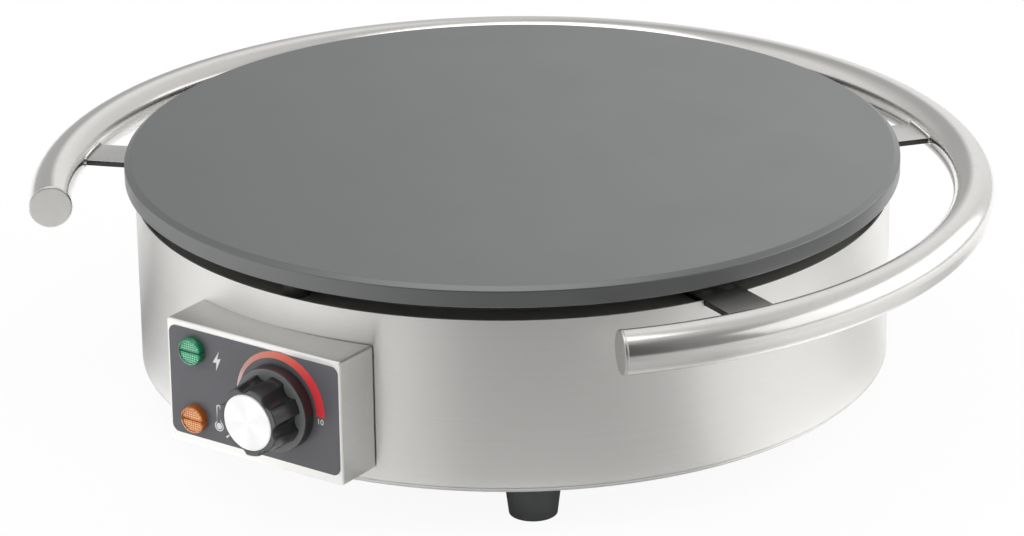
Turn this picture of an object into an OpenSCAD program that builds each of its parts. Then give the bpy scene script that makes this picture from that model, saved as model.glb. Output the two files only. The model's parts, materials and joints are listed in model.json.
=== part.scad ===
// Electric crepe maker: a round cast iron plate on a steel drum, with a control box and a ring handle.
// Millimetres, +Z up. The control box faces -Y and the feet stand on z = 0.
// A bearing is the angle about the drum's axis, from the front and positive towards +X.

/* [Cooking plate] */
// Diameter of the cooking plate
plate_d = 400; // [380:1:440]
// Thickness of the cooking plate
plate_t = 10.5; // [9:0.5:16]
// Width of the bevel round the plate's top edge
plate_bevel_w = 3; // [1:0.5:5]
// Height of that bevel
plate_bevel_h = 2; // [1:0.5:4]
// Air gap between the drum's top edge and the plate
plate_gap = 8.3; // [7.5:0.1:14]
// Width of the stiffening rib under the plate
plate_rib_w = 5; // [3:0.5:7]
// Depth of the stiffening rib
plate_rib_h = 3; // [2:0.5:5]

/* [Drum] */
// How far the plate reaches past the drum all round
plate_overhang = 5; // [2:0.5:10]
// Height of the drum
drum_h = 89.2; // [85:0.1:120]
// Thickness of the drum's sheet
drum_sheet_t = 1; // [0.8:0.1:1.5]
// Width of the lip turned in at the drum's bottom edge
drum_lip_w = 14; // [12:1:16]
// Thickness of the base plate
base_t = 1.2; // [0.8:0.1:2]
// Radial width of the support ring under the plate's edge
support_w = 26; // [24:1:27]
// Thickness of the support ring
support_t = 2; // [1.5:0.5:3]
// Height of the support ring's flange along the drum wall
support_flange_h = 12; // [6:1:14]

/* [Feet] */
// Height of a rubber foot
foot_h = 20.3; // [18:0.1:40]
// Diameter of a foot at its top
foot_top_d = 29; // [22:0.5:32]
// Diameter of a foot at the floor
foot_bottom_d = 24; // [18:0.5:28]
// Distance of the feet from the drum's outer surface
foot_inset = 23; // [20:0.5:40]
// Bearing of the two front feet
foot_bearing = 38; // [36:1:45]
// Diameter of the foot screws
foot_screw_d = 5; // [4:0.5:6]

/* [Ring handle] */
// Diameter of the handle tube
handle_tube_d = 22; // [18:0.5:28]
// Wall of the handle tube
handle_wall = 1.5; // [1:0.1:2.5]
// Finger gap between the plate's edge and the tube
handle_gap = 27.5; // [24:0.5:45]
// Height of the tube's centre above the drum's top edge
handle_rise = -1.3; // [-3:0.1:1]
// Bearing of the tube's two ends
handle_end_bearing = 47.6; // [35:0.1:58]
// Thickness of the handle's end caps
handle_cap_t = 1.5; // [1:0.1:3]
// Bearing of the two front brackets
bracket_front_bearing = 67; // [62:1:75]
// Bearing of the two rear brackets
bracket_rear_bearing = 142; // [138:1:150]
// Width of a bracket bar
bracket_w = 25; // [20:1:30]
// Thickness of a bracket bar
bracket_t = 3; // [2:0.5:4]

/* [Control box] */
// How far the control box sits right of the front's middle
box_shift = -3; // [-6:0.5:6]
// Width of the control box
box_w = 106.4; // [104:0.1:125]
// Height of the control box
box_h = 64.5; // [63:0.1:75]
// How far the box stands out from the drum
box_proud = 20; // [17:0.1:30]
// Height of the box's underside above the drum's bottom edge
box_rise = 8; // [4:0.1:9]
// Thickness of the box's sheet
box_sheet_t = 1.2; // [0.8:0.1:1.6]
// Thickness of the panel label
label_t = 0.4; // [0.2:0.1:0.6]
// Metal left bare at each side of the label
label_side_margin = 1.6; // [0.8:0.1:3]
// Metal left bare above the label
label_top_margin = 3.1; // [1:0.1:5]
// Metal left bare below the label
label_bottom_margin = 4.8; // [1:0.1:5]
// Corner radius of the label
label_corner_r = 4; // [1:0.5:6]
// Distance of the signal lamps left of the box's centre
lamp_offset = 36.2; // [34:0.1:38]
// Height of the signal lamps' middle above the box's centre
lamp_rise = 0.5; // [-2:0.1:2]
// Distance between the two signal lamps
lamp_pitch = 36; // [34:0.5:38]
// Diameter of a lamp's lens
lamp_d = 15; // [12:0.5:16]
// How far a lens stands out from the label
lamp_proud = 4; // [2:0.5:6]
// Diameter of a lamp's body behind the panel
lamp_body_d = 11; // [8:0.5:11]
// Length of a lamp's body
lamp_body_l = 22; // [14:1:26]

/* [Knob] */
// Distance of the knob right of the box's centre
knob_offset = 15.7; // [14:0.1:20]
// Height of the knob above the box's centre
knob_rise = 1.3; // [-2:0.1:3]
// Diameter of the knob's skirt
skirt_d = 43; // [40:0.5:46]
// Thickness of the skirt
skirt_t = 6.4; // [4.5:0.1:7]
// Gap between the skirt and the label
skirt_gap = 0.8; // [0.5:0.1:1.5]
// Diameter of the grip where it meets the skirt
grip_root_d = 37; // [35:0.1:39]
// Diameter of the grip at its front
grip_front_d = 34.4; // [33:0.1:35]
// Height of the grip in front of the skirt
grip_h = 17.4; // [14:0.1:24]
// Number of finger flutes round the grip
flute_count = 7; // [6:1:10]
// Radius of a flute
flute_r = 5; // [3:0.5:6]
// Depth of a flute at the grip's front edge
flute_depth = 2; // [0.5:0.1:2.2]
// Diameter of the bright metal insert
insert_d = 28.7; // [26:0.1:28.8]
// Diameter of the thermostat's shaft
shaft_d = 6; // [5:0.5:8]
// Depth of the flat on the shaft
shaft_flat = 1.4; // [0.5:0.1:1.6]

/* [Heating] */
// Diameter of the tubular heating elements
element_d = 8; // [6.5:0.5:9]
// Loop radius of the outer element
outer_loop_r = 148; // [138:1:150]
// Loop radius of the inner element
inner_loop_r = 85; // [70:1:95]
// Distance between the two ends of a loop
loop_gap = 46; // [44:1:60]
// Bend radius at the ends of a loop
loop_bend_r = 11; // [9:0.5:12]
// Depth of the heat shield pan
shield_h = 10.5; // [10:0.5:13]
// Thickness of the heat shield's sheet
shield_t = 0.8; // [0.6:0.1:1.2]
// Air gap above the insulation
blanket_gap = 4; // [3:0.5:5]
// Diameter of a sensing bulb
bulb_d = 6; // [4:0.5:6]
// Length of a sensing bulb
bulb_l = 80; // [60:1:90]
// Diameter of the capillary tubes
capillary_d = 2; // [1.5:0.1:2.5]

/* [Thermostat and wiring] */
// Width of the thermostat's body
thermostat_w = 36; // [30:1:38]
// Height of the thermostat's body
thermostat_h = 42; // [34:1:42]
// Depth of the thermostat's body
thermostat_l = 28; // [20:1:32]
// Distance between the two screws that hold the thermostat
thermostat_screw_pitch = 28; // [26:0.5:28]
// Travel of the reset button
reset_travel = 2; // [1:0.1:3]
// Diameter of the reset button's pin
reset_d = 4; // [3:0.1:5]
// Bore of the cable gland
gland_bore_d = 9; // [7:0.5:10]
// Outer diameter of the gland's thread
gland_thread_d = 16; // [14:0.5:18]
// Height of the gland's centre above the drum's bottom edge
gland_rise = 32.5; // [28:0.5:36]
// Diameter of an insulated wire
wire_d = 2.4; // [1.6:0.1:3]

/* [Hidden] */
$fn = 96;
running_gap = 0.08;      // round a shaft or pin that turns or slides
fit_gap = 0.2;           // round a piece that is pushed into a hole
hole_gap = 0.5;          // round a screw in its clearance hole
past = 1;                // how far a cutting tool runs past the face that it cuts

// Fasteners: heads and nuts follow the thread's diameter
pan_head_ratio = 1.8;    // width of a round head
hex_ratio = 1.9;         // width of a hexagon across its corners
head_h_ratio = 0.6;      // height of a head
low_head_h_ratio = 0.3;  // height of a low round head
flush_ratio = 1.8;       // width of a flush head
nut_h_ratio = 0.8;       // height of a nut
screw_end = 1;           // thread that stands past a nut

// Radii of the main rings, from the plate outwards and inwards
plate_r = plate_d / 2;
drum_r = plate_r - plate_overhang;
drum_inner_r = drum_r - drum_sheet_t;
lip_inner_r = drum_inner_r - drum_lip_w;
handle_r = plate_r + handle_gap + handle_tube_d / 2;
support_inner_r = drum_inner_r - support_w;

// Heights, from the floor up
base_z0 = foot_h;
drum_z0 = base_z0 + base_t;
drum_z1 = drum_z0 + drum_h;
plate_z0 = drum_z1 + plate_gap;
plate_z1 = plate_z0 + plate_t;
bar_z0 = drum_z1 - bracket_t;
support_z0 = bar_z0 - support_t;
handle_z = drum_z1 + handle_rise;

// Distances from the drum's axis to the front of the box, the label and the knob
box_front = drum_r + box_proud;
box_z0 = drum_z0 + box_rise;
box_mid_z = box_z0 + box_h / 2;
window_margin = 6;       // wall of the box left outside the drum's window
window_w = box_w - 2 * window_margin;
window_z0 = box_z0 + window_margin;
window_h = box_h - 2 * window_margin;
knob_z = box_mid_z + knob_rise;
lamp_places = [for (side = [1, -1]) [-lamp_offset, lamp_rise + side * lamp_pitch / 2]];   // green, amber
skirt_z0 = label_t + skirt_gap;
grip_z0 = skirt_z0 + skirt_t;
grip_z1 = grip_z0 + grip_h;
insert_t = 1.4;
insert_proud = 0.4;
knob_front = box_front + grip_z1 + insert_proud;

// The drum's axis stands off the origin, so that the origin is the centre of the whole outline
handle_outer_r = handle_r + handle_tube_d / 2;
axis_y = (knob_front - handle_outer_r) / 2;

// Fixings of the plate
boss_d = 18;
boss_h = 2;
plate_fix_bearings = [0, 120, 240];
plate_fix_inset = 11;    // from the drum's inner face to the plate's bolts
plate_fix_r = drum_inner_r - plate_fix_inset;
plate_bolt_d = 6;
standoff_d = 13;
thread_bite = 6;         // how far a screw bites into the plate
rib_gap = 5.5;           // from the outer element to the plate's rib
rib_inner_r = outer_loop_r + element_d / 2 + rib_gap;
support_flange_t = 1.5;

// Fixings of the brackets, the shield and the base plate
bracket_reach = 17;      // how far a bracket bar runs in past the drum wall
bracket_bearings = [bracket_front_bearing, bracket_rear_bearing,
    360 - bracket_rear_bearing, 360 - bracket_front_bearing];
bracket_root_r = drum_inner_r - bracket_reach;
bracket_bolt_d = 4;
bracket_bolt_pitch = 13;
bracket_bolt_inset = 8;
bracket_bolt_r = drum_inner_r - bracket_bolt_inset;
notch_gap = 0.3;         // round a bar where it passes the drum wall
base_inset = 2;          // from the drum's outer face to the base plate's edge
base_r = drum_r - base_inset;
base_screw_d = 4;
base_screw_inset = 6;    // from the lip's inner edge to the base plate's screws
base_screw_r = lip_inner_r + base_screw_inset;
base_screw_count = 6;
shield_screw_d = 3;
shield_screw_bearings = [30, 180, 330];

// Feet
foot_r = drum_r - foot_inset;
foot_bearings = [foot_bearing, 180 - foot_bearing, 180 + foot_bearing, 360 - foot_bearing];
foot_recess_d = 12;
foot_recess_h = 8;

// Heating
element_z = plate_z0 - element_d / 2;
cold_end_step = 0.6;     // how much thinner each cold stretch is than the one before it
centre_boss_d = 26;
clamp_t = 2;
clamp_w = 18;
clamp_z0 = plate_z0 - element_d - clamp_t;
clamp_stud_d = 8;
flange_bar_gap = 3;      // from the shield's flange to the bracket bars
shield_flange_w = support_w - bracket_reach - flange_bar_gap;
shield_side_gap = 2;     // from the support ring to the shield's wall
shield_r = support_inner_r - shield_side_gap;
shield_z1 = bar_z0 + shield_t;
shield_z0 = shield_z1 - shield_h - shield_t;
blanket_z0 = shield_z0 + shield_t;
blanket_t = shield_h - blanket_gap;
blanket_side_gap = 1;
blanket_r = shield_r - shield_t - blanket_side_gap;
leg_below = 12;          // how far the elements' legs reach below the shield
leg_x = loop_gap / 2 - loop_bend_r;
leg_z0 = shield_z0 - leg_below;
leg_hole_d = element_d + 2;
insulator_h = 8;
insulator_d = element_d + 2;
pin_d = 4;
pin_h = 10;

// Sensing bulbs lie between the two loops, the thermostat's at the right and the cut-out's at the left
bulb_x = (outer_loop_r + inner_loop_r) / 2;
bulb_z = plate_z0 - bulb_d / 2;
clip_w = 12;
clip_wall = 1.5;
clip_tab = 11;
clip_screw_d = 4;
clip_screw_inset = (bulb_d + clip_tab) / 2;   // from the bulb's axis to its clip's screw
capillary_run = 30;      // from a bulb's end to where its capillary turns down
capillary_y = -bulb_l / 2 - capillary_run;
capillary_hole_d = capillary_d + 6;
capillary_lead = 9;      // straight stretch at a capillary's end

// Print on the label
ink_t = 0.12;
off_angle = 219;         // direction of the off mark and the knob's pointer, anticlockwise from +X

// Thermostat and knob
thermostat_back = box_front - box_sheet_t - thermostat_l;
shaft_depth = 10;        // of the shaft inside the thermostat
shaft_end_gap = 0.5;     // at both ends of the shaft
shaft_share = 0.6;       // share of the grip's height that the shaft reaches
shaft_hole_d = shaft_d + 4;
thermostat_screw_d = 4;
thermostat_screw_bite = 7;

// Thermal cut-out on the base plate, with its reset button underneath
cutout_x = -62;
cutout_y = -62;
cutout_w = 34;
cutout_l = 28;
cutout_h = 24;
bush_d = 10;
bush_h = 6;
cutout_nut_t = 3;
cutout_wall = 2;         // floor and roof of the cut-out's body
collar_w = 1.2;          // width of the reset button's collar
collar_t = 2;

// Flat terminals of the lamps and the thermostat
tab_t = 0.8;
lamp_tab_w = 2.8;
lamp_tab_l = 7;
thermostat_tab_w = 6.4;
thermostat_tab_l = 8;

// Terminal block, gland and earth stud at the rear
gland_z = drum_z0 + gland_rise;
gland_flange_d = gland_thread_d + 6;
gland_flange_t = 5;
gland_flange_sink = 2;   // how far the flange is let in, for the drum's curve
gland_cap_h = 14;
gland_nose_h = 4;        // tapered end of the cap
gland_in = 11;           // thread inside the drum
gland_neck_l = gland_flange_t + gland_cap_h - gland_nose_h;
terminal_w = 56;
terminal_l = 22;
terminal_h = 20;
terminal_y = 118;
pole_pitch = 18;
pole_w = 8;              // slot of a pole
pole_floor = 8;          // height of a pole's floor
pole_gap = 0.5;          // round a brass clamp
pole_screw_d = 4;
earth_x = 58;
earth_y = 112;
earth_stud_d = 5;
earth_stud_h = 16;
earth_head_h = 2;
wire_lead = 7;           // straight stretch at a wire's end

// ---- shared shapes ----

// Everything is drawn about the drum's axis and moved here to its place about the origin
module on_axis() {
    translate([0, axis_y, 0]) children();
}

module at_bearing(bearing, r, z = 0) {
    rotate([0, 0, bearing]) translate([0, -r, z]) children();
}

// On the box's front plane: x to the right, y up and z outwards, from the box's centre
module on_panel(x, y) {
    translate([box_shift + x, -box_front, box_mid_z + y]) rotate([90, 0, 0]) children();
}

// On the drum's rear: z outwards
module on_gland() {
    translate([0, drum_r, gland_z]) rotate([-90, 0, 0]) children();
}

module ring(outer_r, inner_r, h) {
    difference() {
        cylinder(r = outer_r, h = h);
        translate([0, 0, -past]) cylinder(r = inner_r, h = h + 2 * past);
    }
}

module rounded_rect(w, h, r) {
    square([w - 2 * r, h], center = true);
    square([w, h - 2 * r], center = true);
    for (sx = [-1, 1], sy = [-1, 1]) translate([sx * (w / 2 - r), sy * (h / 2 - r)]) circle(r);
}

// A screw with its head's underside at z = 0 and its shank going up
module screw(d, length, head_ratio = head_h_ratio) {
    head_h = head_ratio * d;
    translate([0, 0, -head_h]) cylinder(d = pan_head_ratio * d, h = head_h);
    translate([0, 0, -head_h / 2]) cylinder(d = d, h = length + head_h / 2);
}

module hex_bolt(d, length) {
    head_h = head_h_ratio * d;
    translate([0, 0, -head_h]) cylinder(d = hex_ratio * d, h = head_h, $fn = 6);
    translate([0, 0, -head_h / 2]) cylinder(d = d, h = length + head_h / 2);
}

// A flush screw with its head's face at z = 0, and the hole for it through a piece of thickness t
function flush_head_h(d) = (flush_ratio - 1) * d / 2;
module flush_screw(d, length) {
    cylinder(d1 = flush_ratio * d, d2 = d, h = flush_head_h(d));
    cylinder(d = d, h = length);
}
module flush_hole(d, t) {
    translate([0, 0, -past]) cylinder(d = flush_ratio * d, h = past);
    cylinder(d1 = flush_ratio * d, d2 = d, h = flush_head_h(d));
    cylinder(d = d + hole_gap, h = t + past);
}

function nut_h(d) = nut_h_ratio * d;

module hex_nut(d, h) {
    difference() {
        cylinder(d = hex_ratio * d, h = h, $fn = 6);
        translate([0, 0, -past]) cylinder(d = d + 2 * running_gap, h = h + 2 * past);
    }
}

// Points of a smooth curve through the given points, n steps to each stretch
function curve_point(p, i, t) =
    let (last = len(p) - 1, a = p[max(i - 1, 0)], b = p[i], c = p[i + 1], d = p[min(i + 2, last)])
    (2 * b + (c - a) * t + (2 * a - 5 * b + 4 * c - d) * pow(t, 2)
        + (3 * b - a - 3 * c + d) * pow(t, 3)) / 2;
function curve(p, n) =
    concat([for (i = [0 : len(p) - 2], k = [0 : n - 1]) curve_point(p, i, k / n)], [p[len(p) - 1]]);
function unit(v) = v / norm(v);
function tangents(c) =
    let (last = len(c) - 1) [for (i = [0 : last]) unit(c[min(i + 1, last)] - c[max(i - 1, 0)])];
// Carries one side direction along the tangents without twist
function carried(t, i, side) =
    i >= len(t) ? [] : let (s = unit(side - t[i] * (side * t[i]))) concat([s], carried(t, i + 1, s));

// Three points in line, so that a rod starts or ends squarely at p; step leads from p along the rod
function square_start(p, step) = [p, p + step, p + 2 * step];
function square_end(p, step) = [p + 2 * step, p + step, p];

// A round rod swept along a smooth curve through the points p
module bent_rod(p, d, n = 4, sides = 8) {
    c = curve(p, n);
    t = tangents(c);
    s = carried(t, 0, abs(t[0].x) < 0.7 ? [1, 0, 0] : [0, 1, 0]);
    count = len(c);
    points = [for (i = [0 : count - 1], k = [0 : sides - 1])
        let (a = 360 * k / sides) c[i] + d / 2 * (cos(a) * s[i] + sin(a) * cross(t[i], s[i]))];
    walls = [for (i = [0 : count - 2], k = [0 : sides - 1])
        let (a = i * sides + k, b = i * sides + (k + 1) % sides) [a, a + sides, b + sides, b]];
    start = [for (k = [0 : sides - 1]) k];
    finish = [for (k = [sides - 1 : -1 : 0]) (count - 1) * sides + k];
    polyhedron(points, concat(walls, [start, finish]), convexity = 4);
}

// ---- cooking plate and what holds it ----

module cooking_plate() {
    color("dimgray") on_axis() difference() {
        union() {
            translate([0, 0, plate_z0]) cylinder(r = plate_r, h = plate_t - plate_bevel_h);
            translate([0, 0, plate_z1 - plate_bevel_h])
                cylinder(r1 = plate_r, r2 = plate_r - plate_bevel_w, h = plate_bevel_h);
            translate([0, 0, plate_z0 - element_d]) cylinder(d = centre_boss_d, h = element_d + past);
            plate_rib();
            for (b = plate_fix_bearings)
                at_bearing(b, plate_fix_r, plate_z0 - boss_h) cylinder(d = boss_d, h = boss_h + past);
        }
        for (b = plate_fix_bearings)
            at_bearing(b, plate_fix_r, plate_z0 - boss_h - past)
                cylinder(d = plate_bolt_d + 2 * running_gap, h = boss_h + thread_bite + 2 * past);
        translate([0, 0, plate_z0 - element_d - past])
            cylinder(d = clamp_stud_d + 2 * running_gap, h = element_d + thread_bite + 2 * past);
        for (side = [-1, 1])
            translate([side * (bulb_x - clip_screw_inset), 0, plate_z0 - past])
                cylinder(d = clip_screw_d + 2 * running_gap, h = thread_bite + 2 * past);
    }
}

// Stiffening rib round the outer element, left open where the bosses are
module plate_rib() {
    difference() {
        translate([0, 0, plate_z0 - plate_rib_h])
            ring(rib_inner_r + plate_rib_w, rib_inner_r, plate_rib_h + past);
        for (b = plate_fix_bearings)
            at_bearing(b, plate_fix_r, plate_z0 - plate_rib_h - past)
                cylinder(d = boss_d, h = plate_rib_h + past);
    }
}

module plate_standoffs() {
    color("silver") on_axis() for (b = plate_fix_bearings)
        at_bearing(b, plate_fix_r, bar_z0)
            ring(standoff_d / 2, plate_bolt_d / 2 + fit_gap, plate_z0 - boss_h - bar_z0);
}

module plate_bolts() {
    color("silver") on_axis() for (b = plate_fix_bearings)
        at_bearing(b, plate_fix_r, support_z0)
            hex_bolt(plate_bolt_d, plate_z0 + thread_bite - support_z0);
}

module support_ring() {
    color("darkslategray") on_axis() difference() {
        union() {
            translate([0, 0, support_z0]) ring(drum_inner_r, support_inner_r, support_t);
            translate([0, 0, support_z0 - support_flange_h])
                ring(drum_inner_r, drum_inner_r - support_flange_t, support_flange_h + support_t / 2);
        }
        for (b = plate_fix_bearings)
            at_bearing(b, plate_fix_r, support_z0 - past)
                cylinder(d = plate_bolt_d + hole_gap, h = support_t + 2 * past);
        for (b = bracket_bearings, side = [-1, 1])
            at_bearing(b, bracket_bolt_r, support_z0 - past)
                translate([side * bracket_bolt_pitch / 2, 0, 0])
                    cylinder(d = bracket_bolt_d + hole_gap, h = support_t + 2 * past);
        for (b = shield_screw_bearings)
            at_bearing(b, support_inner_r + shield_flange_w / 2, support_z0 - past)
                cylinder(d = shield_screw_d + 2 * running_gap, h = support_t + 2 * past);
    }
}

// ---- heating ----

// Rod that comes in along +X at the origin and turns down; it starts a little before the origin
module elbow(bend_r, d) {
    lead_in = 8;         // degrees
    translate([0, 0, -bend_r]) rotate([90, 0, 0])
        rotate_extrude(angle = 90 + lead_in) translate([bend_r, 0]) circle(d = d);
}

// A heated loop with two thinner cold ends that turn down through the shield
module element_loop(loop_r) {
    half = asin(loop_gap / 2 / loop_r);
    leg_h = element_z - loop_bend_r - leg_z0;
    translate([0, 0, element_z]) rotate([0, 0, half - 90])
        rotate_extrude(angle = 360 - 2 * half) translate([loop_r, 0]) circle(d = element_d);
    for (side = [0, 1]) mirror([side, 0, 0])
        at_bearing(-half, loop_r, element_z) {
            elbow(loop_bend_r, element_d - cold_end_step);
            translate([loop_bend_r, 0, -loop_bend_r - leg_h])
                cylinder(d = element_d - 2 * cold_end_step, h = leg_h + past);
        }
}

// Places the children at both legs of a loop, at height z
module at_legs(loop_r, z) {
    half = asin(loop_gap / 2 / loop_r);
    for (side = [0, 1]) mirror([side, 0, 0])
        at_bearing(-half, loop_r, z) translate([loop_bend_r, 0, 0]) children();
}

module heating_element_outer() {
    color("darkslategray") on_axis() element_loop(outer_loop_r);
}

module heating_element_inner() {
    color("darkslategray") on_axis() element_loop(inner_loop_r);
}

module element_insulators() {
    color("ivory") on_axis() for (r = [outer_loop_r, inner_loop_r])
        at_legs(r, leg_z0 - insulator_h) ring(insulator_d / 2, pin_d / 2 + fit_gap, insulator_h);
}

module element_pins() {
    color("silver") on_axis() for (r = [outer_loop_r, inner_loop_r])
        at_legs(r, leg_z0 - insulator_h - pin_h) cylinder(d = pin_d, h = pin_h + insulator_h);
}

module element_clamp() {
    color("silver") on_axis() translate([0, 0, clamp_z0]) difference() {
        for (a = [45, 135]) rotate([0, 0, a])
            translate([-outer_loop_r - element_d, -clamp_w / 2, 0])
                cube([2 * (outer_loop_r + element_d), clamp_w, clamp_t]);
        translate([0, 0, -past]) cylinder(d = clamp_stud_d + hole_gap, h = clamp_t + 2 * past);
    }
}

module clamp_stud() {
    stud_z0 = clamp_z0 - nut_h(clamp_stud_d) - screw_end;
    color("silver") on_axis() translate([0, 0, stud_z0])
        cylinder(d = clamp_stud_d, h = plate_z0 + thread_bite - stud_z0);
}

module clamp_nut() {
    color("silver") on_axis() translate([0, 0, clamp_z0 - nut_h(clamp_stud_d)])
        hex_nut(clamp_stud_d, nut_h(clamp_stud_d));
}

module insulation_blanket() {
    nut_clearance = 5;
    color("whitesmoke") on_axis() difference() {
        translate([0, 0, blanket_z0]) cylinder(r = blanket_r, h = blanket_t);
        translate([0, 0, blanket_z0 - past])
            cylinder(d = hex_ratio * clamp_stud_d + nut_clearance, h = blanket_t + 2 * past);
        for (r = [outer_loop_r, inner_loop_r])
            at_legs(r, blanket_z0 - past) cylinder(d = leg_hole_d, h = blanket_t + 2 * past);
        for (side = [-1, 1])
            translate([side * bulb_x, capillary_y, blanket_z0 - past])
                cylinder(d = capillary_hole_d, h = blanket_t + 2 * past);
    }
}

module heat_shield_pan() {
    color("silver") on_axis() difference() {
        union() {
            translate([0, 0, bar_z0]) cylinder(r = support_inner_r + shield_flange_w, h = shield_t);
            translate([0, 0, shield_z0]) cylinder(r = shield_r, h = shield_z1 - shield_z0);
        }
        translate([0, 0, blanket_z0]) cylinder(r = shield_r - shield_t, h = shield_h + past);
        for (r = [outer_loop_r, inner_loop_r])
            at_legs(r, shield_z0 - past) cylinder(d = leg_hole_d, h = shield_z1 - shield_z0 + 2 * past);
        for (side = [-1, 1])
            translate([side * bulb_x, capillary_y, shield_z0 - past])
                cylinder(d = capillary_hole_d, h = shield_t + 2 * past);
        for (b = shield_screw_bearings)
            at_bearing(b, support_inner_r + shield_flange_w / 2, bar_z0 - past)
                cylinder(d = shield_screw_d + hole_gap, h = shield_t + 2 * past);
    }
}

module shield_screws() {
    color("silver") on_axis() for (b = shield_screw_bearings)
        at_bearing(b, support_inner_r + shield_flange_w / 2, shield_z1)
            rotate([180, 0, 0]) screw(shield_screw_d, shield_t + support_t + screw_end);
}

// ---- drum and base ----

module drum_shell() {
    color("lightgray") on_axis() difference() {
        union() {
            translate([0, 0, drum_z0]) ring(drum_r, drum_inner_r, drum_h);
            translate([0, 0, drum_z0]) ring(drum_r - drum_sheet_t / 2, lip_inner_r, drum_sheet_t);
        }
        translate([box_shift - window_w / 2, -drum_r - past, window_z0])
            cube([window_w, drum_r / 2, window_h]);
        for (b = bracket_bearings)
            at_bearing(b, drum_r + past, bar_z0)
                translate([-bracket_w / 2 - notch_gap, 0, 0])
                    cube([bracket_w + 2 * notch_gap, past + drum_sheet_t + bracket_reach, bracket_t + past]);
        at_base_screws(drum_z0 - past)
            cylinder(d = base_screw_d + hole_gap, h = drum_sheet_t + 2 * past);
        on_gland() translate([0, 0, -drum_sheet_t - past])
            cylinder(d = gland_thread_d + 2 * fit_gap, h = drum_sheet_t + 2 * past);
    }
}

// Places the children at all screws of the base plate, at height z
module at_base_screws(z) {
    for (k = [0 : base_screw_count - 1])
        at_bearing(360 * k / base_screw_count, base_screw_r, z) children();
}

module base_plate() {
    vent_count = 12;
    vent_w = 4;
    vent_l = 28;
    vent_r = 24;
    deep = base_t + 2 * past;
    color("silver") on_axis() difference() {
        translate([0, 0, base_z0]) cylinder(r = base_r, h = base_t);
        for (b = foot_bearings)
            at_bearing(b, foot_r, base_z0 - past) cylinder(d = foot_screw_d + hole_gap, h = deep);
        at_base_screws(base_z0 - past) cylinder(d = base_screw_d + hole_gap, h = deep);
        for (k = [0 : vent_count - 1])
            rotate([0, 0, 360 * k / vent_count])
                translate([-vent_w / 2, vent_r, base_z0 - past]) cube([vent_w, vent_l, deep]);
        at_cutout(base_z0 - past) cylinder(d = bush_d + hole_gap, h = deep);
        translate([earth_x, earth_y, base_z0 - past])
            cylinder(d = earth_stud_d + 2 * running_gap, h = deep);
    }
}

module base_screws() {
    color("silver") on_axis() at_base_screws(base_z0)
        screw(base_screw_d, base_t + drum_sheet_t + nut_h(base_screw_d) + screw_end, low_head_h_ratio);
}

module base_nuts() {
    color("silver") on_axis() at_base_screws(drum_z0 + drum_sheet_t)
        hex_nut(base_screw_d, nut_h(base_screw_d));
}

// ---- ring handle ----

module ring_handle() {
    color("silver") on_axis() translate([0, 0, handle_z])
        rotate([0, 0, handle_end_bearing - 90])
            rotate_extrude(angle = 360 - 2 * handle_end_bearing) translate([handle_r, 0]) difference() {
                circle(d = handle_tube_d);
                circle(d = handle_tube_d - 2 * handle_wall);
            }
}

module handle_cap() {
    at_bearing(handle_end_bearing, handle_r, handle_z)
        rotate([0, -90, 0]) cylinder(d = handle_tube_d, h = handle_cap_t);
}

module handle_cap_left() {
    color("silver") on_axis() mirror([1, 0, 0]) handle_cap();
}

module handle_cap_right() {
    color("silver") on_axis() handle_cap();
}

module bracket(bearing) {
    color("silver") on_axis() difference() {
        at_bearing(bearing, handle_r, bar_z0) translate([-bracket_w / 2, 0, 0])
            cube([bracket_w, handle_r - bracket_root_r, bracket_t]);
        translate([0, 0, handle_z]) rotate_extrude() translate([handle_r, 0]) circle(d = handle_tube_d);
        translate([0, 0, bar_z0 - past]) ring(handle_r + handle_tube_d, handle_r, bracket_t + 2 * past);
        for (side = [-1, 1])
            at_bearing(bearing, bracket_bolt_r, drum_z1) translate([side * bracket_bolt_pitch / 2, 0, 0])
                rotate([180, 0, 0]) flush_hole(bracket_bolt_d, bracket_t);
    }
}

module bracket_front_left() {
    bracket(360 - bracket_front_bearing);
}

module bracket_front_right() {
    bracket(bracket_front_bearing);
}

module bracket_rear_left() {
    bracket(360 - bracket_rear_bearing);
}

module bracket_rear_right() {
    bracket(bracket_rear_bearing);
}

// Places the children at both bolts of all brackets, at height z
module at_bracket_bolts(z) {
    for (b = bracket_bearings, side = [-1, 1])
        at_bearing(b, bracket_bolt_r, z) translate([side * bracket_bolt_pitch / 2, 0, 0]) children();
}

module bracket_bolts() {
    color("dimgray") on_axis() at_bracket_bolts(drum_z1) rotate([180, 0, 0])
        flush_screw(bracket_bolt_d, bracket_t + support_t + nut_h(bracket_bolt_d) + screw_end);
}

module bracket_nuts() {
    color("silver") on_axis() at_bracket_bolts(support_z0 - nut_h(bracket_bolt_d))
        hex_nut(bracket_bolt_d, nut_h(bracket_bolt_d));
}

// ---- feet ----

module foot(bearing) {
    color("dimgray") on_axis() at_bearing(bearing, foot_r) difference() {
        cylinder(d1 = foot_bottom_d, d2 = foot_top_d, h = foot_h);
        translate([0, 0, -past]) cylinder(d = foot_recess_d, h = foot_recess_h + past);
        translate([0, 0, -past]) cylinder(d = foot_screw_d + hole_gap, h = foot_h + 2 * past);
    }
}

module foot_front_left() {
    foot(360 - foot_bearing);
}

module foot_front_right() {
    foot(foot_bearing);
}

module foot_rear_left() {
    foot(180 + foot_bearing);
}

module foot_rear_right() {
    foot(180 - foot_bearing);
}

module foot_screws() {
    color("silver") on_axis() for (b = foot_bearings)
        at_bearing(b, foot_r, foot_recess_h)
            screw(foot_screw_d, drum_z0 + nut_h(foot_screw_d) + screw_end - foot_recess_h);
}

module foot_nuts() {
    color("silver") on_axis() for (b = foot_bearings)
        at_bearing(b, foot_r, drum_z0) hex_nut(foot_screw_d, nut_h(foot_screw_d));
}

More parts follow.
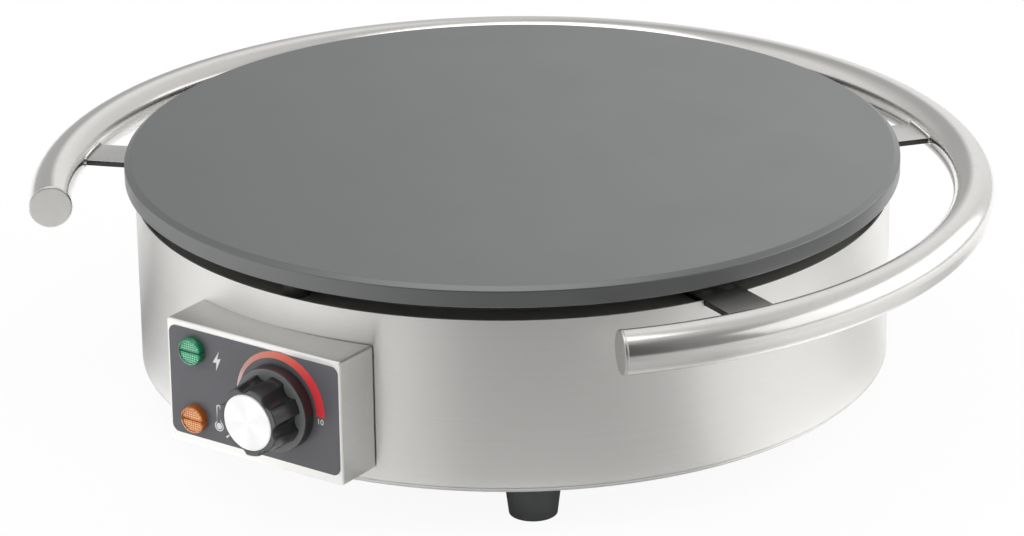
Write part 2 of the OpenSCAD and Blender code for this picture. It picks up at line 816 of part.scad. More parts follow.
// ---- control box ----

module control_box() {
    color("lightgray") on_axis() difference() {
        translate([box_shift - box_w / 2, -box_front, box_z0]) cube([box_w, box_front, box_h]);
        translate([box_shift - box_w / 2 + box_sheet_t, -box_front + box_sheet_t, box_z0 + box_sheet_t])
            cube([box_w - 2 * box_sheet_t, box_front, box_h - 2 * box_sheet_t]);
        translate([0, 0, box_z0 - past]) cylinder(r = drum_r, h = box_h + 2 * past);
        panel_holes(box_sheet_t);
    }
}

// Holes for the shaft, the thermostat's screws and the lamps, through a sheet of thickness t
module panel_holes(t) {
    on_panel(knob_offset, knob_rise) translate([0, 0, -t - past]) {
        cylinder(d = shaft_hole_d, h = t + 2 * past);
        for (side = [-1, 1]) translate([side * thermostat_screw_pitch / 2, 0, 0])
            cylinder(d = thermostat_screw_d + hole_gap, h = t + 2 * past);
    }
    for (p = lamp_places) on_panel(p.x, p.y)
        translate([0, 0, -t - past]) cylinder(d = lamp_body_d + 2 * fit_gap, h = t + 2 * past);
}

module panel_label() {
    label_w = box_w - 2 * label_side_margin;
    label_h = box_h - label_top_margin - label_bottom_margin;
    color("dimgray") on_axis() difference() {
        on_panel(0, (label_bottom_margin - label_top_margin) / 2) linear_extrude(label_t)
            rounded_rect(label_w, label_h, label_corner_r);
        panel_holes(box_sheet_t);
    }
}

// Heat scale: a crescent that widens from the lowest setting to the highest
module dial_scale() {
    outer_r = skirt_d / 2 + 5.3;
    inner_r = skirt_d / 2 + 2;
    centre = [1, 1.3];       // of the outer arc, from the knob's axis
    shift = [-1.7, -0.4];    // of the inner arc, from the outer one
    sweep = 169;             // from the highest setting, at +X, round to the lowest
    steps = 8;
    color("red") on_axis() on_panel(knob_offset, knob_rise) translate([centre.x, centre.y, label_t])
        linear_extrude(ink_t) intersection() {
            difference() {
                circle(outer_r);
                translate(shift) circle(inner_r);
            }
            polygon(concat([[0, 0]], [for (k = [0 : steps])
                2 * outer_r * [cos(sweep * k / steps), sin(sweep * k / steps)]]));
        }
}

// Mains sign, heat sign and off mark
module panel_symbols() {
    sign_x = 14.2 - lamp_offset;
    mains_y = lamp_places[0].y - 2.5;
    heat_y = lamp_places[1].y - 1;
    heat_bulb_r = 2.6;
    heat_h = 10.4;
    off_gap = 1.6;
    off_l = 4;
    off_w = 0.8;
    color("white") on_axis() {
        on_panel(sign_x, mains_y) translate([0, 0, label_t]) linear_extrude(ink_t)
            polygon([[0.4, 6.2], [2.2, 6.2], [0.9, 1.2], [2.5, 1.2],
                [-1.6, -6.2], [-0.3, -0.7], [-2.4, -0.7]]);
        on_panel(sign_x, heat_y) translate([0, 0, label_t]) linear_extrude(ink_t) {
            circle(heat_bulb_r);
            translate([-heat_bulb_r / 2, 0]) square([heat_bulb_r, heat_h]);
        }
        on_panel(knob_offset, knob_rise) rotate([0, 0, off_angle])
            translate([skirt_d / 2 + off_gap, -off_w / 2, label_t]) cube([off_l, off_w, ink_t]);
    }
}

module lamp_lens() {
    taper = 3;
    translate([0, 0, label_t]) cylinder(d = lamp_d, h = lamp_proud / 2);
    translate([0, 0, label_t + lamp_proud / 2])
        cylinder(d1 = lamp_d, d2 = lamp_d - taper, h = lamp_proud / 2);
}

module lamp_body() {
    translate([0, 0, label_t - lamp_body_l]) {
        cylinder(d = lamp_body_d, h = lamp_body_l);
        for (side = [-1, 1])
            translate([side * lamp_body_d / 4 - lamp_tab_w / 2, -tab_t / 2, -lamp_tab_l])
                cube([lamp_tab_w, tab_t, lamp_tab_l + past]);
    }
}

module lamp_green_lens() {
    color("green") on_axis() on_panel(lamp_places[0].x, lamp_places[0].y) lamp_lens();
}

module lamp_amber_lens() {
    color("orange") on_axis() on_panel(lamp_places[1].x, lamp_places[1].y) lamp_lens();
}

module lamp_green_body() {
    color("dimgray") on_axis() on_panel(lamp_places[0].x, lamp_places[0].y) lamp_body();
}

module lamp_amber_body() {
    color("dimgray") on_axis() on_panel(lamp_places[1].x, lamp_places[1].y) lamp_body();
}

// ---- knob and thermostat ----

// Cross-section of the shaft, grown by gap for the bore that it goes into
module shaft_section(gap) {
    r = shaft_d / 2 + gap;
    difference() {
        circle(r);
        translate([-r, shaft_d / 2 - shaft_flat + gap]) square([2 * r, r]);
    }
}

module knob() {
    edge = 0.6;              // bevel of the skirt
    web = 1.3;               // wall between the grip and the skirt's hollow
    rim = 1.8;               // wall round the hollow
    hub_wall = 4.5;
    flute_start = 46.4;      // direction of the first flute, anticlockwise from the right
    pointer_w = 0.8;         // groove of the pointer, across the grip's front edge
    pointer_h = 0.3;
    insert_z0 = grip_z1 + insert_proud - insert_t;
    color("dimgray") on_axis() on_panel(knob_offset, knob_rise) difference() {
        union() {
            translate([0, 0, skirt_z0]) cylinder(d = skirt_d, h = skirt_t - edge);
            translate([0, 0, grip_z0 - edge]) cylinder(d1 = skirt_d, d2 = skirt_d - 2 * edge, h = edge);
            difference() {
                translate([0, 0, grip_z0 - edge])
                    cylinder(d1 = grip_root_d, d2 = grip_front_d, h = grip_h + edge);
                for (k = [0 : flute_count - 1]) rotate([0, 0, flute_start + 360 * k / flute_count])
                    translate([grip_front_d / 2 - flute_depth + flute_r, 0, grip_z0])
                        cylinder(r = flute_r, h = grip_h + past);
            }
        }
        translate([0, 0, skirt_z0 - past])
            ring(skirt_d / 2 - rim, shaft_d / 2 + hub_wall, skirt_t - web + past);
        translate([0, 0, skirt_z0 - past])
            linear_extrude(shaft_front() + shaft_end_gap - skirt_z0 + past) shaft_section(running_gap);
        translate([0, 0, insert_z0]) cylinder(d = insert_d + running_gap, h = insert_t);
        rotate([0, 0, off_angle]) translate([insert_d / 2 - fit_gap, -pointer_w / 2, grip_z1 - pointer_h])
            cube([grip_root_d / 2, pointer_w, pointer_h + past]);
    }
}

// How far the shaft reaches in front of the box
function shaft_front() = grip_z0 + grip_h * shaft_share;

module knob_insert() {
    edge = 0.3;
    color("white") on_axis() on_panel(knob_offset, knob_rise)
        translate([0, 0, grip_z1 + insert_proud - insert_t]) {
            cylinder(d = insert_d, h = insert_t - edge);
            translate([0, 0, insert_t - edge]) cylinder(d1 = insert_d, d2 = insert_d - 2 * edge, h = edge);
        }
}

module thermostat_shaft() {
    round_z0 = -box_sheet_t - shaft_depth + shaft_end_gap;
    color("silver") on_axis() on_panel(knob_offset, knob_rise) {
        translate([0, 0, skirt_z0]) linear_extrude(shaft_front() - skirt_z0) shaft_section(0);
        translate([0, 0, round_z0]) cylinder(d = shaft_d, h = skirt_z0 - round_z0);
    }
}

module thermostat_body() {
    tab_y = -thermostat_h / 5;
    screw_hole_h = thermostat_screw_bite + past;
    color("gainsboro") on_axis() on_panel(knob_offset, knob_rise) difference() {
        union() {
            translate([-thermostat_w / 2, -thermostat_h / 2, -box_sheet_t - thermostat_l])
                cube([thermostat_w, thermostat_h, thermostat_l]);
            for (side = [-1, 1])
                translate([side * thermostat_w / 3 - thermostat_tab_w / 2, tab_y,
                    -box_sheet_t - thermostat_l - thermostat_tab_l])
                    cube([thermostat_tab_w, tab_t, thermostat_tab_l + past]);
        }
        translate([0, 0, -box_sheet_t - shaft_depth])
            cylinder(d = shaft_d + 2 * running_gap, h = shaft_depth + past);
        for (side = [-1, 1])
            translate([side * thermostat_screw_pitch / 2, 0, -box_sheet_t - screw_hole_h])
                cylinder(d = thermostat_screw_d + 2 * running_gap, h = screw_hole_h + past);
    }
}

module thermostat_screws() {
    color("silver") on_axis() on_panel(knob_offset, knob_rise) for (side = [-1, 1])
        translate([side * thermostat_screw_pitch / 2, 0, label_t])
            rotate([180, 0, 0])
                screw(thermostat_screw_d, label_t + box_sheet_t + thermostat_screw_bite);
}

// ---- sensing bulbs ----

module bulb(side) {
    translate([side * bulb_x, bulb_l / 2, bulb_z]) rotate([90, 0, 0]) cylinder(d = bulb_d, h = bulb_l);
}

// The capillary runs forward off the bulb, down through the shield and on to its control
module capillary(side, finish) {
    x = side * bulb_x;
    bend = 5;
    bent_rod(concat(square_start([x, -bulb_l / 2, bulb_z], [0, -capillary_lead, 0]),
        [[x, capillary_y + bend, bulb_z - bend], [x, capillary_y, blanket_z0 + bend],
        [x, capillary_y, shield_z0 - bend], [x, capillary_y, shield_z0 - 2 * bend]],
        finish), capillary_d);
}

module thermostat_bulb() {
    color("peru") on_axis() bulb(1);
}

module thermostat_capillary() {
    inlet = [box_shift + knob_offset + thermostat_w / 4, -thermostat_back, knob_z - thermostat_h / 10];
    color("peru") on_axis() capillary(1, concat([[bulb_x - 14, inlet.y + 70, inlet.z + 10],
        inlet + [26, 40, -2]], square_end(inlet, [0, capillary_lead, 0])));
}

module cutout_bulb() {
    inlet = [cutout_x - cutout_w / 4, cutout_y + cutout_l / 4, drum_z0 + cutout_h];
    color("peru") on_axis() {
        bulb(-1);
        capillary(-1, concat([[-bulb_x + 6, cutout_y + 2, inlet.z + 30]],
            square_end(inlet, [0, 0, capillary_lead])));
    }
}

module at_clips() {
    for (side = [0, 1]) mirror([side, 0, 0]) translate([bulb_x, 0, plate_z0]) children();
}

module bulb_clips() {
    hook_w = bulb_d / 2 + clip_wall;
    color("silver") on_axis() at_clips() difference() {
        union() {
            translate([-bulb_d / 2 - clip_tab, -clip_w / 2, -clip_wall])
                cube([clip_tab + bulb_d / 2, clip_w, clip_wall]);
            translate([-hook_w, -clip_w / 2, -bulb_d - clip_wall])
                cube([2 * hook_w, clip_w, bulb_d + clip_wall]);
        }
        translate([0, clip_w / 2 + past, -bulb_d / 2]) rotate([90, 0, 0])
            cylinder(d = bulb_d + 2 * running_gap, h = clip_w + 2 * past);
        translate([-bulb_d / 2, -clip_w / 2 - past, -bulb_d / 2])
            cube([bulb_d, clip_w + 2 * past, bulb_d]);
        translate([-clip_screw_inset, 0, -clip_wall - past])
            cylinder(d = clip_screw_d + hole_gap, h = clip_wall + 2 * past);
    }
}

module bulb_clip_screws() {
    color("silver") on_axis() at_clips() translate([-clip_screw_inset, 0, -clip_wall])
        screw(clip_screw_d, clip_wall + thread_bite);
}

// ---- thermal cut-out with its reset button ----

module at_cutout(z) {
    translate([cutout_x, cutout_y, z]) children();
}

module cutout_body() {
    collar_room = 1;         // left over above the collar at the end of its travel
    color("gainsboro") on_axis() difference() {
        union() {
            at_cutout(drum_z0) translate([-cutout_w / 2, -cutout_l / 2, 0])
                cube([cutout_w, cutout_l, cutout_h]);
            at_cutout(base_z0 - bush_h) cylinder(d = bush_d, h = bush_h + base_t + past);
        }
        at_cutout(base_z0 - bush_h - past)
            cylinder(d = reset_d + 2 * running_gap, h = past + bush_h + base_t + cutout_h - cutout_wall);
        at_cutout(drum_z0 + cutout_wall)
            cylinder(d = reset_d + 2 * collar_w + 2 * fit_gap, h = collar_t + reset_travel + collar_room);
    }
}

module cutout_nut() {
    color("silver") on_axis() at_cutout(base_z0 - cutout_nut_t) hex_nut(bush_d, cutout_nut_t);
}

module reset_button() {
    tip_z = base_z0 - bush_h - reset_travel;
    collar_z = drum_z0 + cutout_wall + running_gap;
    stem_above = 6;          // of the pin past its collar
    color("red") on_axis() {
        at_cutout(tip_z) cylinder(d = reset_d, h = collar_z + collar_t + stem_above - tip_z);
        at_cutout(collar_z) cylinder(d = reset_d + 2 * collar_w, h = collar_t);
    }
}

// ---- mains entry ----

module terminal_block() {
    color("ivory") on_axis() difference() {
        translate([-terminal_w / 2, terminal_y, drum_z0]) cube([terminal_w, terminal_l, terminal_h]);
        for (k = [-1 : 1])
            translate([k * pole_pitch - pole_w / 2, terminal_y - past, drum_z0 + pole_floor])
                cube([pole_w, terminal_l + 2 * past, terminal_h]);
    }
}

module terminal_clamps() {
    side_w = pole_w - 2 * pole_gap;
    length = terminal_l - 6;
    screw_h = 2.5;
    color("goldenrod") on_axis() for (k = [-1 : 1])
        translate([k * pole_pitch, terminal_y + terminal_l / 2, drum_z0 + pole_floor]) {
            translate([-side_w / 2, -length / 2, 0]) cube([side_w, length, side_w]);
            for (side = [-1, 1])
                translate([0, side * length / 3, side_w - past])
                    cylinder(d = pole_screw_d, h = screw_h + past);
        }
}

module cable_gland() {
    color("dimgray") on_axis() difference() {
        on_gland() {
            translate([0, 0, -gland_in]) cylinder(d = gland_thread_d, h = gland_in + gland_neck_l);
            translate([0, 0, -gland_flange_sink]) intersection() {
                cylinder(d = gland_flange_d, h = gland_flange_t + gland_flange_sink, $fn = 6);
                cylinder(d = gland_flange_d - 1, h = gland_flange_t + gland_flange_sink);
            }
        }
        // The flange sits on the drum, and only the thread goes through its wall
        difference() {
            translate([0, 0, gland_z - gland_flange_d]) cylinder(r = drum_r, h = 2 * gland_flange_d);
            on_gland() translate([0, 0, -gland_in - past])
                cylinder(d = gland_thread_d, h = gland_in + gland_flange_t);
        }
        on_gland() translate([0, 0, -gland_in - past])
            cylinder(d = gland_bore_d, h = gland_in + gland_neck_l + 2 * past);
    }
}

module gland_cap() {
    body_h = gland_cap_h - gland_nose_h;
    color("dimgray") on_axis() on_gland() translate([0, 0, gland_flange_t]) difference() {
        union() {
            cylinder(d = gland_flange_d - 1, h = body_h);
            translate([0, 0, body_h])
                cylinder(d1 = gland_flange_d - 1, d2 = gland_thread_d - 2, h = gland_nose_h);
        }
        translate([0, 0, -past]) cylinder(d = gland_thread_d + 2 * running_gap, h = body_h + past);
        cylinder(d = gland_bore_d + 1, h = gland_cap_h + past);
    }
}

module earth_stud() {
    color("goldenrod") on_axis() translate([earth_x, earth_y, 0]) {
        translate([0, 0, base_z0]) cylinder(d = earth_stud_d, h = base_t + earth_stud_h);
        translate([0, 0, base_z0 - earth_head_h]) cylinder(d = 2 * earth_stud_d, h = earth_head_h);
        translate([0, 0, drum_z0])
            cylinder(d = hex_ratio * earth_stud_d, h = nut_h(earth_stud_d), $fn = 6);
    }
}

// Wires from the terminal block to the cut-out, the elements, the lamps and the earth stud
module wiring() {
    clamp_y = terminal_y + 3;
    clamp_z = drum_z0 + pole_floor + 3.5;
    cutout_end = [cutout_x + cutout_w / 2, cutout_y, drum_z0 + cutout_h / 2 + 2];
    pin_end = [leg_x, -outer_loop_r * cos(asin(loop_gap / 2 / outer_loop_r)),
        leg_z0 - insulator_h - pin_h];
    earth_end = [earth_x - earth_stud_d / 2, earth_y, drum_z0 + earth_stud_h / 2];
    lamp_x = box_shift - lamp_offset - lamp_body_d / 4;
    lamp_back = -box_front - label_t + lamp_body_l + lamp_tab_l;
    back = [0, wire_lead, 0];
    color("saddlebrown") on_axis() {
        bent_rod(concat(square_start([-pole_pitch, clamp_y, clamp_z], -back),
            [[-pole_pitch - 22, 30, drum_z0 + 14], cutout_end + [14, 20, 4]],
            square_end(cutout_end, [wire_lead / 2, 0, 0])), wire_d);
        bent_rod(concat(square_start([0, clamp_y, clamp_z], -back),
            [[14, 30, drum_z0 + 12], pin_end + [8, 40, -30]],
            square_end(pin_end, [0, 0, -wire_lead])), wire_d);
        bent_rod(concat(square_start([pole_pitch, clamp_y, clamp_z], -back),
            [[pole_pitch + 22, clamp_y - 22, drum_z0 + 12]],
            square_end(earth_end, [-wire_lead, 0, 0])), wire_d);
        bent_rod(concat(square_start([lamp_x, lamp_back, box_mid_z + lamp_places[0].y], back),
            [[lamp_x - 5, lamp_back + 26, box_mid_z]],
            square_end([lamp_x, lamp_back, box_mid_z + lamp_places[1].y], back)), wire_d);
    }
}

cooking_plate();
plate_standoffs();
plate_bolts();
heating_element_outer();
heating_element_inner();
element_insulators();
element_pins();
element_clamp();
clamp_stud();
clamp_nut();
insulation_blanket();
heat_shield_pan();
shield_screws();
support_ring();
drum_shell();
base_plate();
base_screws();
base_nuts();
ring_handle();
handle_cap_left();
handle_cap_right();
bracket_front_left();
bracket_front_right();
bracket_rear_left();
bracket_rear_right();
bracket_bolts();
bracket_nuts();
foot_front_left();
foot_front_right();
foot_rear_left();
foot_rear_right();
foot_screws();
foot_nuts();
control_box();
panel_label();
dial_scale();
panel_symbols();
lamp_green_lens();
lamp_amber_lens();
lamp_green_body();
lamp_amber_body();
knob();
knob_insert();
thermostat_shaft();
thermostat_body();
thermostat_screws();
thermostat_bulb();
thermostat_capillary();
bulb_clips();
bulb_clip_screws();
cutout_body();
cutout_nut();
reset_button();
cutout_bulb();
terminal_block();
terminal_clamps();
cable_gland();
gland_cap();
earth_stud();
wiring();
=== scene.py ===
# Looks of an electric crepe maker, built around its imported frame.
# Metres, +Z up. The control box faces -Y. A bearing is an angle about the drum's axis, from the front to +X.
import json

import bmesh
import bpy
import numpy as np
from mathutils import Matrix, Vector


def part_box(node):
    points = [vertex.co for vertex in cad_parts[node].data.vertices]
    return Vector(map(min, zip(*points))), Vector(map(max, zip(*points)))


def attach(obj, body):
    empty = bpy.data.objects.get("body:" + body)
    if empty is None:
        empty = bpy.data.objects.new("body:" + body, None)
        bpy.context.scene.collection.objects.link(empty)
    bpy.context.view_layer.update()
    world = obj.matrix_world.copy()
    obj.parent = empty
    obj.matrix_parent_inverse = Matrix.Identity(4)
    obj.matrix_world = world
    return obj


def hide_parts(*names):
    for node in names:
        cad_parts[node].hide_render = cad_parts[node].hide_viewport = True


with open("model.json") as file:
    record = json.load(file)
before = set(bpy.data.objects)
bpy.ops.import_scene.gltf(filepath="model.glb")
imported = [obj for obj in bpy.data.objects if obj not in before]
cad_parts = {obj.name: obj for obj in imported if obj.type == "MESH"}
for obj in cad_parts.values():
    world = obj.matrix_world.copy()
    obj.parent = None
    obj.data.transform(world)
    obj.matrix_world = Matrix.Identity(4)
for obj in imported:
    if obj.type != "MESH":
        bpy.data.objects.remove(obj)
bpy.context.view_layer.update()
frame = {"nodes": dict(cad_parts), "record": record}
nodes = frame["nodes"]
turn = 2 * np.pi


def corners(node):
    lo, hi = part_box(node)
    return np.array(lo), np.array(hi)


# Main places, read from the frame
drumLo, drumHi = corners("drum_shell")
plateLo, plateHi = corners("cooking_plate")
boxLo, boxHi = corners("control_box")
knobLo, knobHi = corners("knob")
handleLo, handleHi = corners("ring_handle")
axisY = round((drumLo[1] + drumHi[1]) / 2, 5)
drumR = round((drumHi[0] - drumLo[0]) / 2, 4)
plateR = round((plateHi[0] - plateLo[0]) / 2, 3)
boxFront = boxLo[1]
boxMidX = (boxLo[0] + boxHi[0]) / 2
boxMidZ = (boxLo[2] + boxHi[2]) / 2
labelFront = corners("panel_label")[0][1]
knobX = (knobLo[0] + knobHi[0]) / 2
knobZ = (knobLo[2] + knobHi[2]) / 2
handleZ = round((handleLo[2] + handleHi[2]) / 2, 5)
barBearings = {"front_right": 67, "rear_right": 142, "rear_left": 218, "front_left": 293}

# ---- camera, floor and light ----

cameraSet = {
    "position": (1.2024, -1.7042, 0.8820),
    "azimuth": 35.3,        # degrees, from the front towards +X
    "elevation": 21.527,
    "roll": -0.741,
    "lens": 150.54,         # mm, on a sensor 36 mm wide
}


def addObject(name, data):
    item = bpy.data.objects.new(name, data)
    bpy.context.scene.collection.objects.link(item)
    return item


def axesAt(azimuth, elevation):
    # unit vectors to the right, up and away from the object, for what looks at it from there
    a, e = np.radians([azimuth, elevation])
    away = np.array([np.sin(a) * np.cos(e), -np.cos(a) * np.cos(e), np.sin(e)])
    right = np.array([np.cos(a), np.sin(a), 0.0])
    return right, np.cross(away, right), away


def setAxes(item, x, y, z, spot):
    # turns an object's own axes to three unit vectors and puts it at a spot
    matrix = Matrix.Identity(4)
    for row in range(3):
        matrix[row][:] = (x[row], y[row], z[row], spot[row])
    item.matrix_world = matrix


def makeCamera(c):
    data = bpy.data.cameras.new("camera")
    data.lens = c["lens"]
    data.sensor_width = 36.0
    data.sensor_fit = "HORIZONTAL"
    data.clip_start, data.clip_end = 0.05, 50.0
    camera = addObject("camera", data)
    right, up, back = axesAt(c["azimuth"], c["elevation"])
    roll = np.radians(c["roll"])
    x = np.cos(roll) * right + np.sin(roll) * up
    y = np.cos(roll) * up - np.sin(roll) * right
    setAxes(camera, x, y, back, c["position"])
    bpy.context.scene.camera = camera


makeCamera(cameraSet)
bpy.context.scene.view_settings.view_transform = "Standard"
print("camera in place")

# ---- node helpers ----


def addNode(tree, kind, inputs=(), **settings):
    # a node with its settings, and its inputs set by name to a value or linked from a socket
    node = tree.nodes.new(kind)
    for key, value in settings.items():
        setattr(node, key, value)
    for key, value in dict(inputs).items():
        socket = node.inputs[key]
        if isinstance(value, bpy.types.NodeSocket):
            tree.links.new(value, socket)
        else:
            socket.default_value = value
    return node


def mathNode(tree, operation, a, b=0.0, c=0.0):
    return addNode(tree, "ShaderNodeMath", {0: a, 1: b, 2: c}, operation=operation).outputs[0]


def mapped(tree, value, fromLo, fromHi, toLo=0.0, toHi=1.0):
    inputs = {"Value": value, "From Min": fromLo, "From Max": fromHi, "To Min": toLo, "To Max": toHi}
    return addNode(tree, "ShaderNodeMapRange", inputs).outputs["Result"]


def mixColor(tree, factor, a, b):
    node = addNode(tree, "ShaderNodeMix", data_type="RGBA")
    for socket, value in ((node.inputs[0], factor), (node.inputs[6], a), (node.inputs[7], b)):
        if isinstance(value, bpy.types.NodeSocket):
            tree.links.new(value, socket)
        else:
            socket.default_value = (*value, 1.0) if isinstance(value, tuple) else value
    return node.outputs[2]


def fromNoise(tree, value, toLo=0.0, toHi=1.0):
    # the middle of a noise's range, where nearly all of it lies, carried onto another range
    return mapped(tree, value, 0.3, 0.7, toLo, toHi)


def shade(color, factor):
    return tuple(min(1.0, c * factor) for c in color)


def toned(tree, factor, color, low, high):
    # a color between two shares of itself
    return mixColor(tree, factor, shade(color, low), shade(color, high))


def veiled(tree, tone, mask, weight, color):
    # a tone with a color laid over it where the mask is high, as strongly as the weight
    return mixColor(tree, mathNode(tree, "MULTIPLY", mask, weight), tone, color)


def colorRamp(tree, factor, stops, interpolation="LINEAR"):
    # color by position, from stops of (position, color)
    ramp = addNode(tree, "ShaderNodeValToRGB", {"Fac": factor})
    ramp.color_ramp.interpolation = interpolation
    elements = ramp.color_ramp.elements
    while len(elements) < len(stops):
        elements.new(0.5)
    for element, (position, color) in zip(elements, stops):
        element.position, element.color = position, (*color, 1.0)
    return ramp.outputs["Color"]


def vectorMath(tree, operation, a, b=(0, 0, 0)):
    node = addNode(tree, "ShaderNodeVectorMath", {0: a, 1: b}, operation=operation)
    return node.outputs["Value" if operation == "LENGTH" else "Vector"]


def partsOf(tree, vector):
    return addNode(tree, "ShaderNodeSeparateXYZ", {0: vector}).outputs


def facing(tree):
    # how far a face looks along X, Y and Z, each from -1 to 1
    return partsOf(tree, addNode(tree, "ShaderNodeNewGeometry").outputs["True Normal"])


def place(tree, scale=(1, 1, 1), move=(0, 0, 0)):
    # the piece's own coordinates, moved and then stretched
    coords = addNode(tree, "ShaderNodeTexCoord").outputs["Object"]
    moved = addNode(tree, "ShaderNodeMapping", {"Vector": coords, "Location": move})
    return addNode(tree, "ShaderNodeMapping", {"Vector": moved.outputs[0], "Scale": scale}).outputs[0]


def awayFromAxis(tree, centred, across):
    # distance from an axis through the middle; across is 1 in the two directions square to it
    return vectorMath(tree, "LENGTH", vectorMath(tree, "MULTIPLY", centred, across))


def turnedRings(tree, radius, pitch):
    # the fine rings of a lathe tool: noise along the radius alone
    inputs = {"W": radius, "Scale": pitch, "Detail": 2.0}
    return addNode(tree, "ShaderNodeTexNoise", inputs, noise_dimensions="1D").outputs["Fac"]


def noise(tree, vector, scale=1.0, detail=3.0, roughness=0.55):
    inputs = {"Vector": vector, "Scale": scale, "Detail": detail, "Roughness": roughness}
    return addNode(tree, "ShaderNodeTexNoise", inputs).outputs["Fac"]


def bumpOn(tree, height, distance, strength=1.0, before=None):
    inputs = {"Height": height, "Distance": distance, "Strength": strength}
    if before is not None:
        inputs["Normal"] = before
    return addNode(tree, "ShaderNodeBump", inputs).outputs["Normal"]


def newMaterial(name, color, roughness, metallic=0.0, **fixed):
    # a Principled material; fixed holds sockets that are the same all over, by their name with _ for a space.
    # A slot's name such as box_steel gives the material's, boxSteel.
    words = name.split("_")
    material = bpy.data.materials.new(words[0] + "".join(word.capitalize() for word in words[1:]))
    material.use_nodes = True
    tree = material.node_tree
    shader = tree.nodes["Principled BSDF"]
    shader.inputs["Base Color"].default_value = (*color, 1.0)
    shader.inputs["Roughness"].default_value = roughness
    shader.inputs["Metallic"].default_value = metallic
    for key, value in fixed.items():
        shader.inputs[key.replace("_", " ")].default_value = value
    material.diffuse_color = (*color, 1.0)
    return material, tree, shader


def feed(tree, shader, **sources):
    for key, value in sources.items():
        tree.links.new(value, shader.inputs[key.replace("_", " ")])


# ---- floor, world and lamps ----

studio = {
    "floorColor": (0.80, 0.80, 0.795),
    "floorSize": 14.0,          # metres across
    "floorWhite": 0.93,         # share of plain white in what the camera sees of the floor
    "worldDiffuse": 0.62,       # level of the light that falls on matt surfaces from all round
    "nearLift": 1.9,            # how much lighter metal sees the floor close to the drum
    "nearEdges": (0.215, 0.27),     # metres from the axis over which that fades out
    "floorStretch": 1.37,       # how much faster than azimuth itself the floor runs through its levels
    "ceiling": 0.62,            # level overhead, as metal sees it
    "ceilingEdges": (0.80, 0.95),   # sines of the elevations between which the walls turn into the ceiling
    # levels by azimuth in degrees, as metal sees them
    "wallLevels": (
        (0, 0.45), (15, 0.16), (30, 0.07), (64, 0.10), (78, 0.26), (92, 0.36), (106, 0.50), (125, 0.74),
        (145, 0.80), (165, 0.82), (182, 0.86), (194, 0.96), (202, 1.0), (211, 1.0), (215, 0.76), (221, 0.51),
        (240, 0.51), (262, 0.66), (285, 0.90), (335, 0.90), (348, 0.70)),
    "floorLevels": (
        (0, 0.68), (12, 0.58), (25, 0.49), (60, 0.47), (80, 0.49), (90, 0.68), (102, 0.80), (115, 0.83),
        (135, 0.78), (154, 0.60), (166, 0.58), (180, 0.82), (200, 1.0), (216, 0.85), (232, 0.54), (246, 0.20),
        (260, 0.48), (280, 0.78), (310, 1.0), (330, 1.0), (345, 0.82)),
    "farLevels": (
        (0, 0.66), (18, 0.42), (35, 0.36), (60, 0.40), (85, 0.55), (105, 0.74), (140, 0.78), (170, 0.78),
        (200, 0.90), (230, 0.95), (262, 1.0), (300, 1.0), (335, 0.90)),
    "farEdges": (0.40, 0.48),   # metres from the axis over which the floor's levels turn into the far ones
    "lampAim": 0.08,            # height of the point on the axis that every lamp faces
}

# Each lamp: azimuth and elevation of its place, distance, width, height, power in watts, whether metal
# mirrors it, and whether it lights matt surfaces
lamps = {
    "windowRight": (128, 20, 2.2, 1.0, 1.9, 20.0, False, True),
    "windowLeft": (-62, 24, 2.4, 1.1, 1.6, 17.0, False, True),
    "overhead": (-10, 84, 2.4, 1.7, 1.7, 14.0, True, True),
    "ceilingFill": (-10, 84, 2.6, 2.4, 2.4, 12.0, False, True),
    "sideBox": (116, 36, 2.2, 2.2, 1.2, 11.0, False, True),
    "nearCard": (121, 20, 0.65, 0.96, 0.34, 0.86, True, False),
}


def levelAround(tree, vector, stretch, table):
    # level by azimuth, read from a table; stretch widens the azimuth's offset from the camera's
    parts = partsOf(tree, vector)
    toBack = mathNode(tree, "MULTIPLY", parts[1], -1.0)
    azimuth = mathNode(tree, "DIVIDE", mathNode(tree, "ARCTAN2", parts[0], toBack), turn)
    middle = cameraSet["azimuth"] / 360
    offset = mathNode(tree, "WRAP", mathNode(tree, "SUBTRACT", azimuth, middle), 0.5, -0.5)
    wide = mathNode(tree, "MULTIPLY", offset, stretch)
    share = mathNode(tree, "FRACT", mathNode(tree, "ADD", wide, middle))
    stops = [(degrees / 360, (level,) * 3) for degrees, level in (*table, (360, table[0][1]))]
    return colorRamp(tree, share, stops, "EASE")


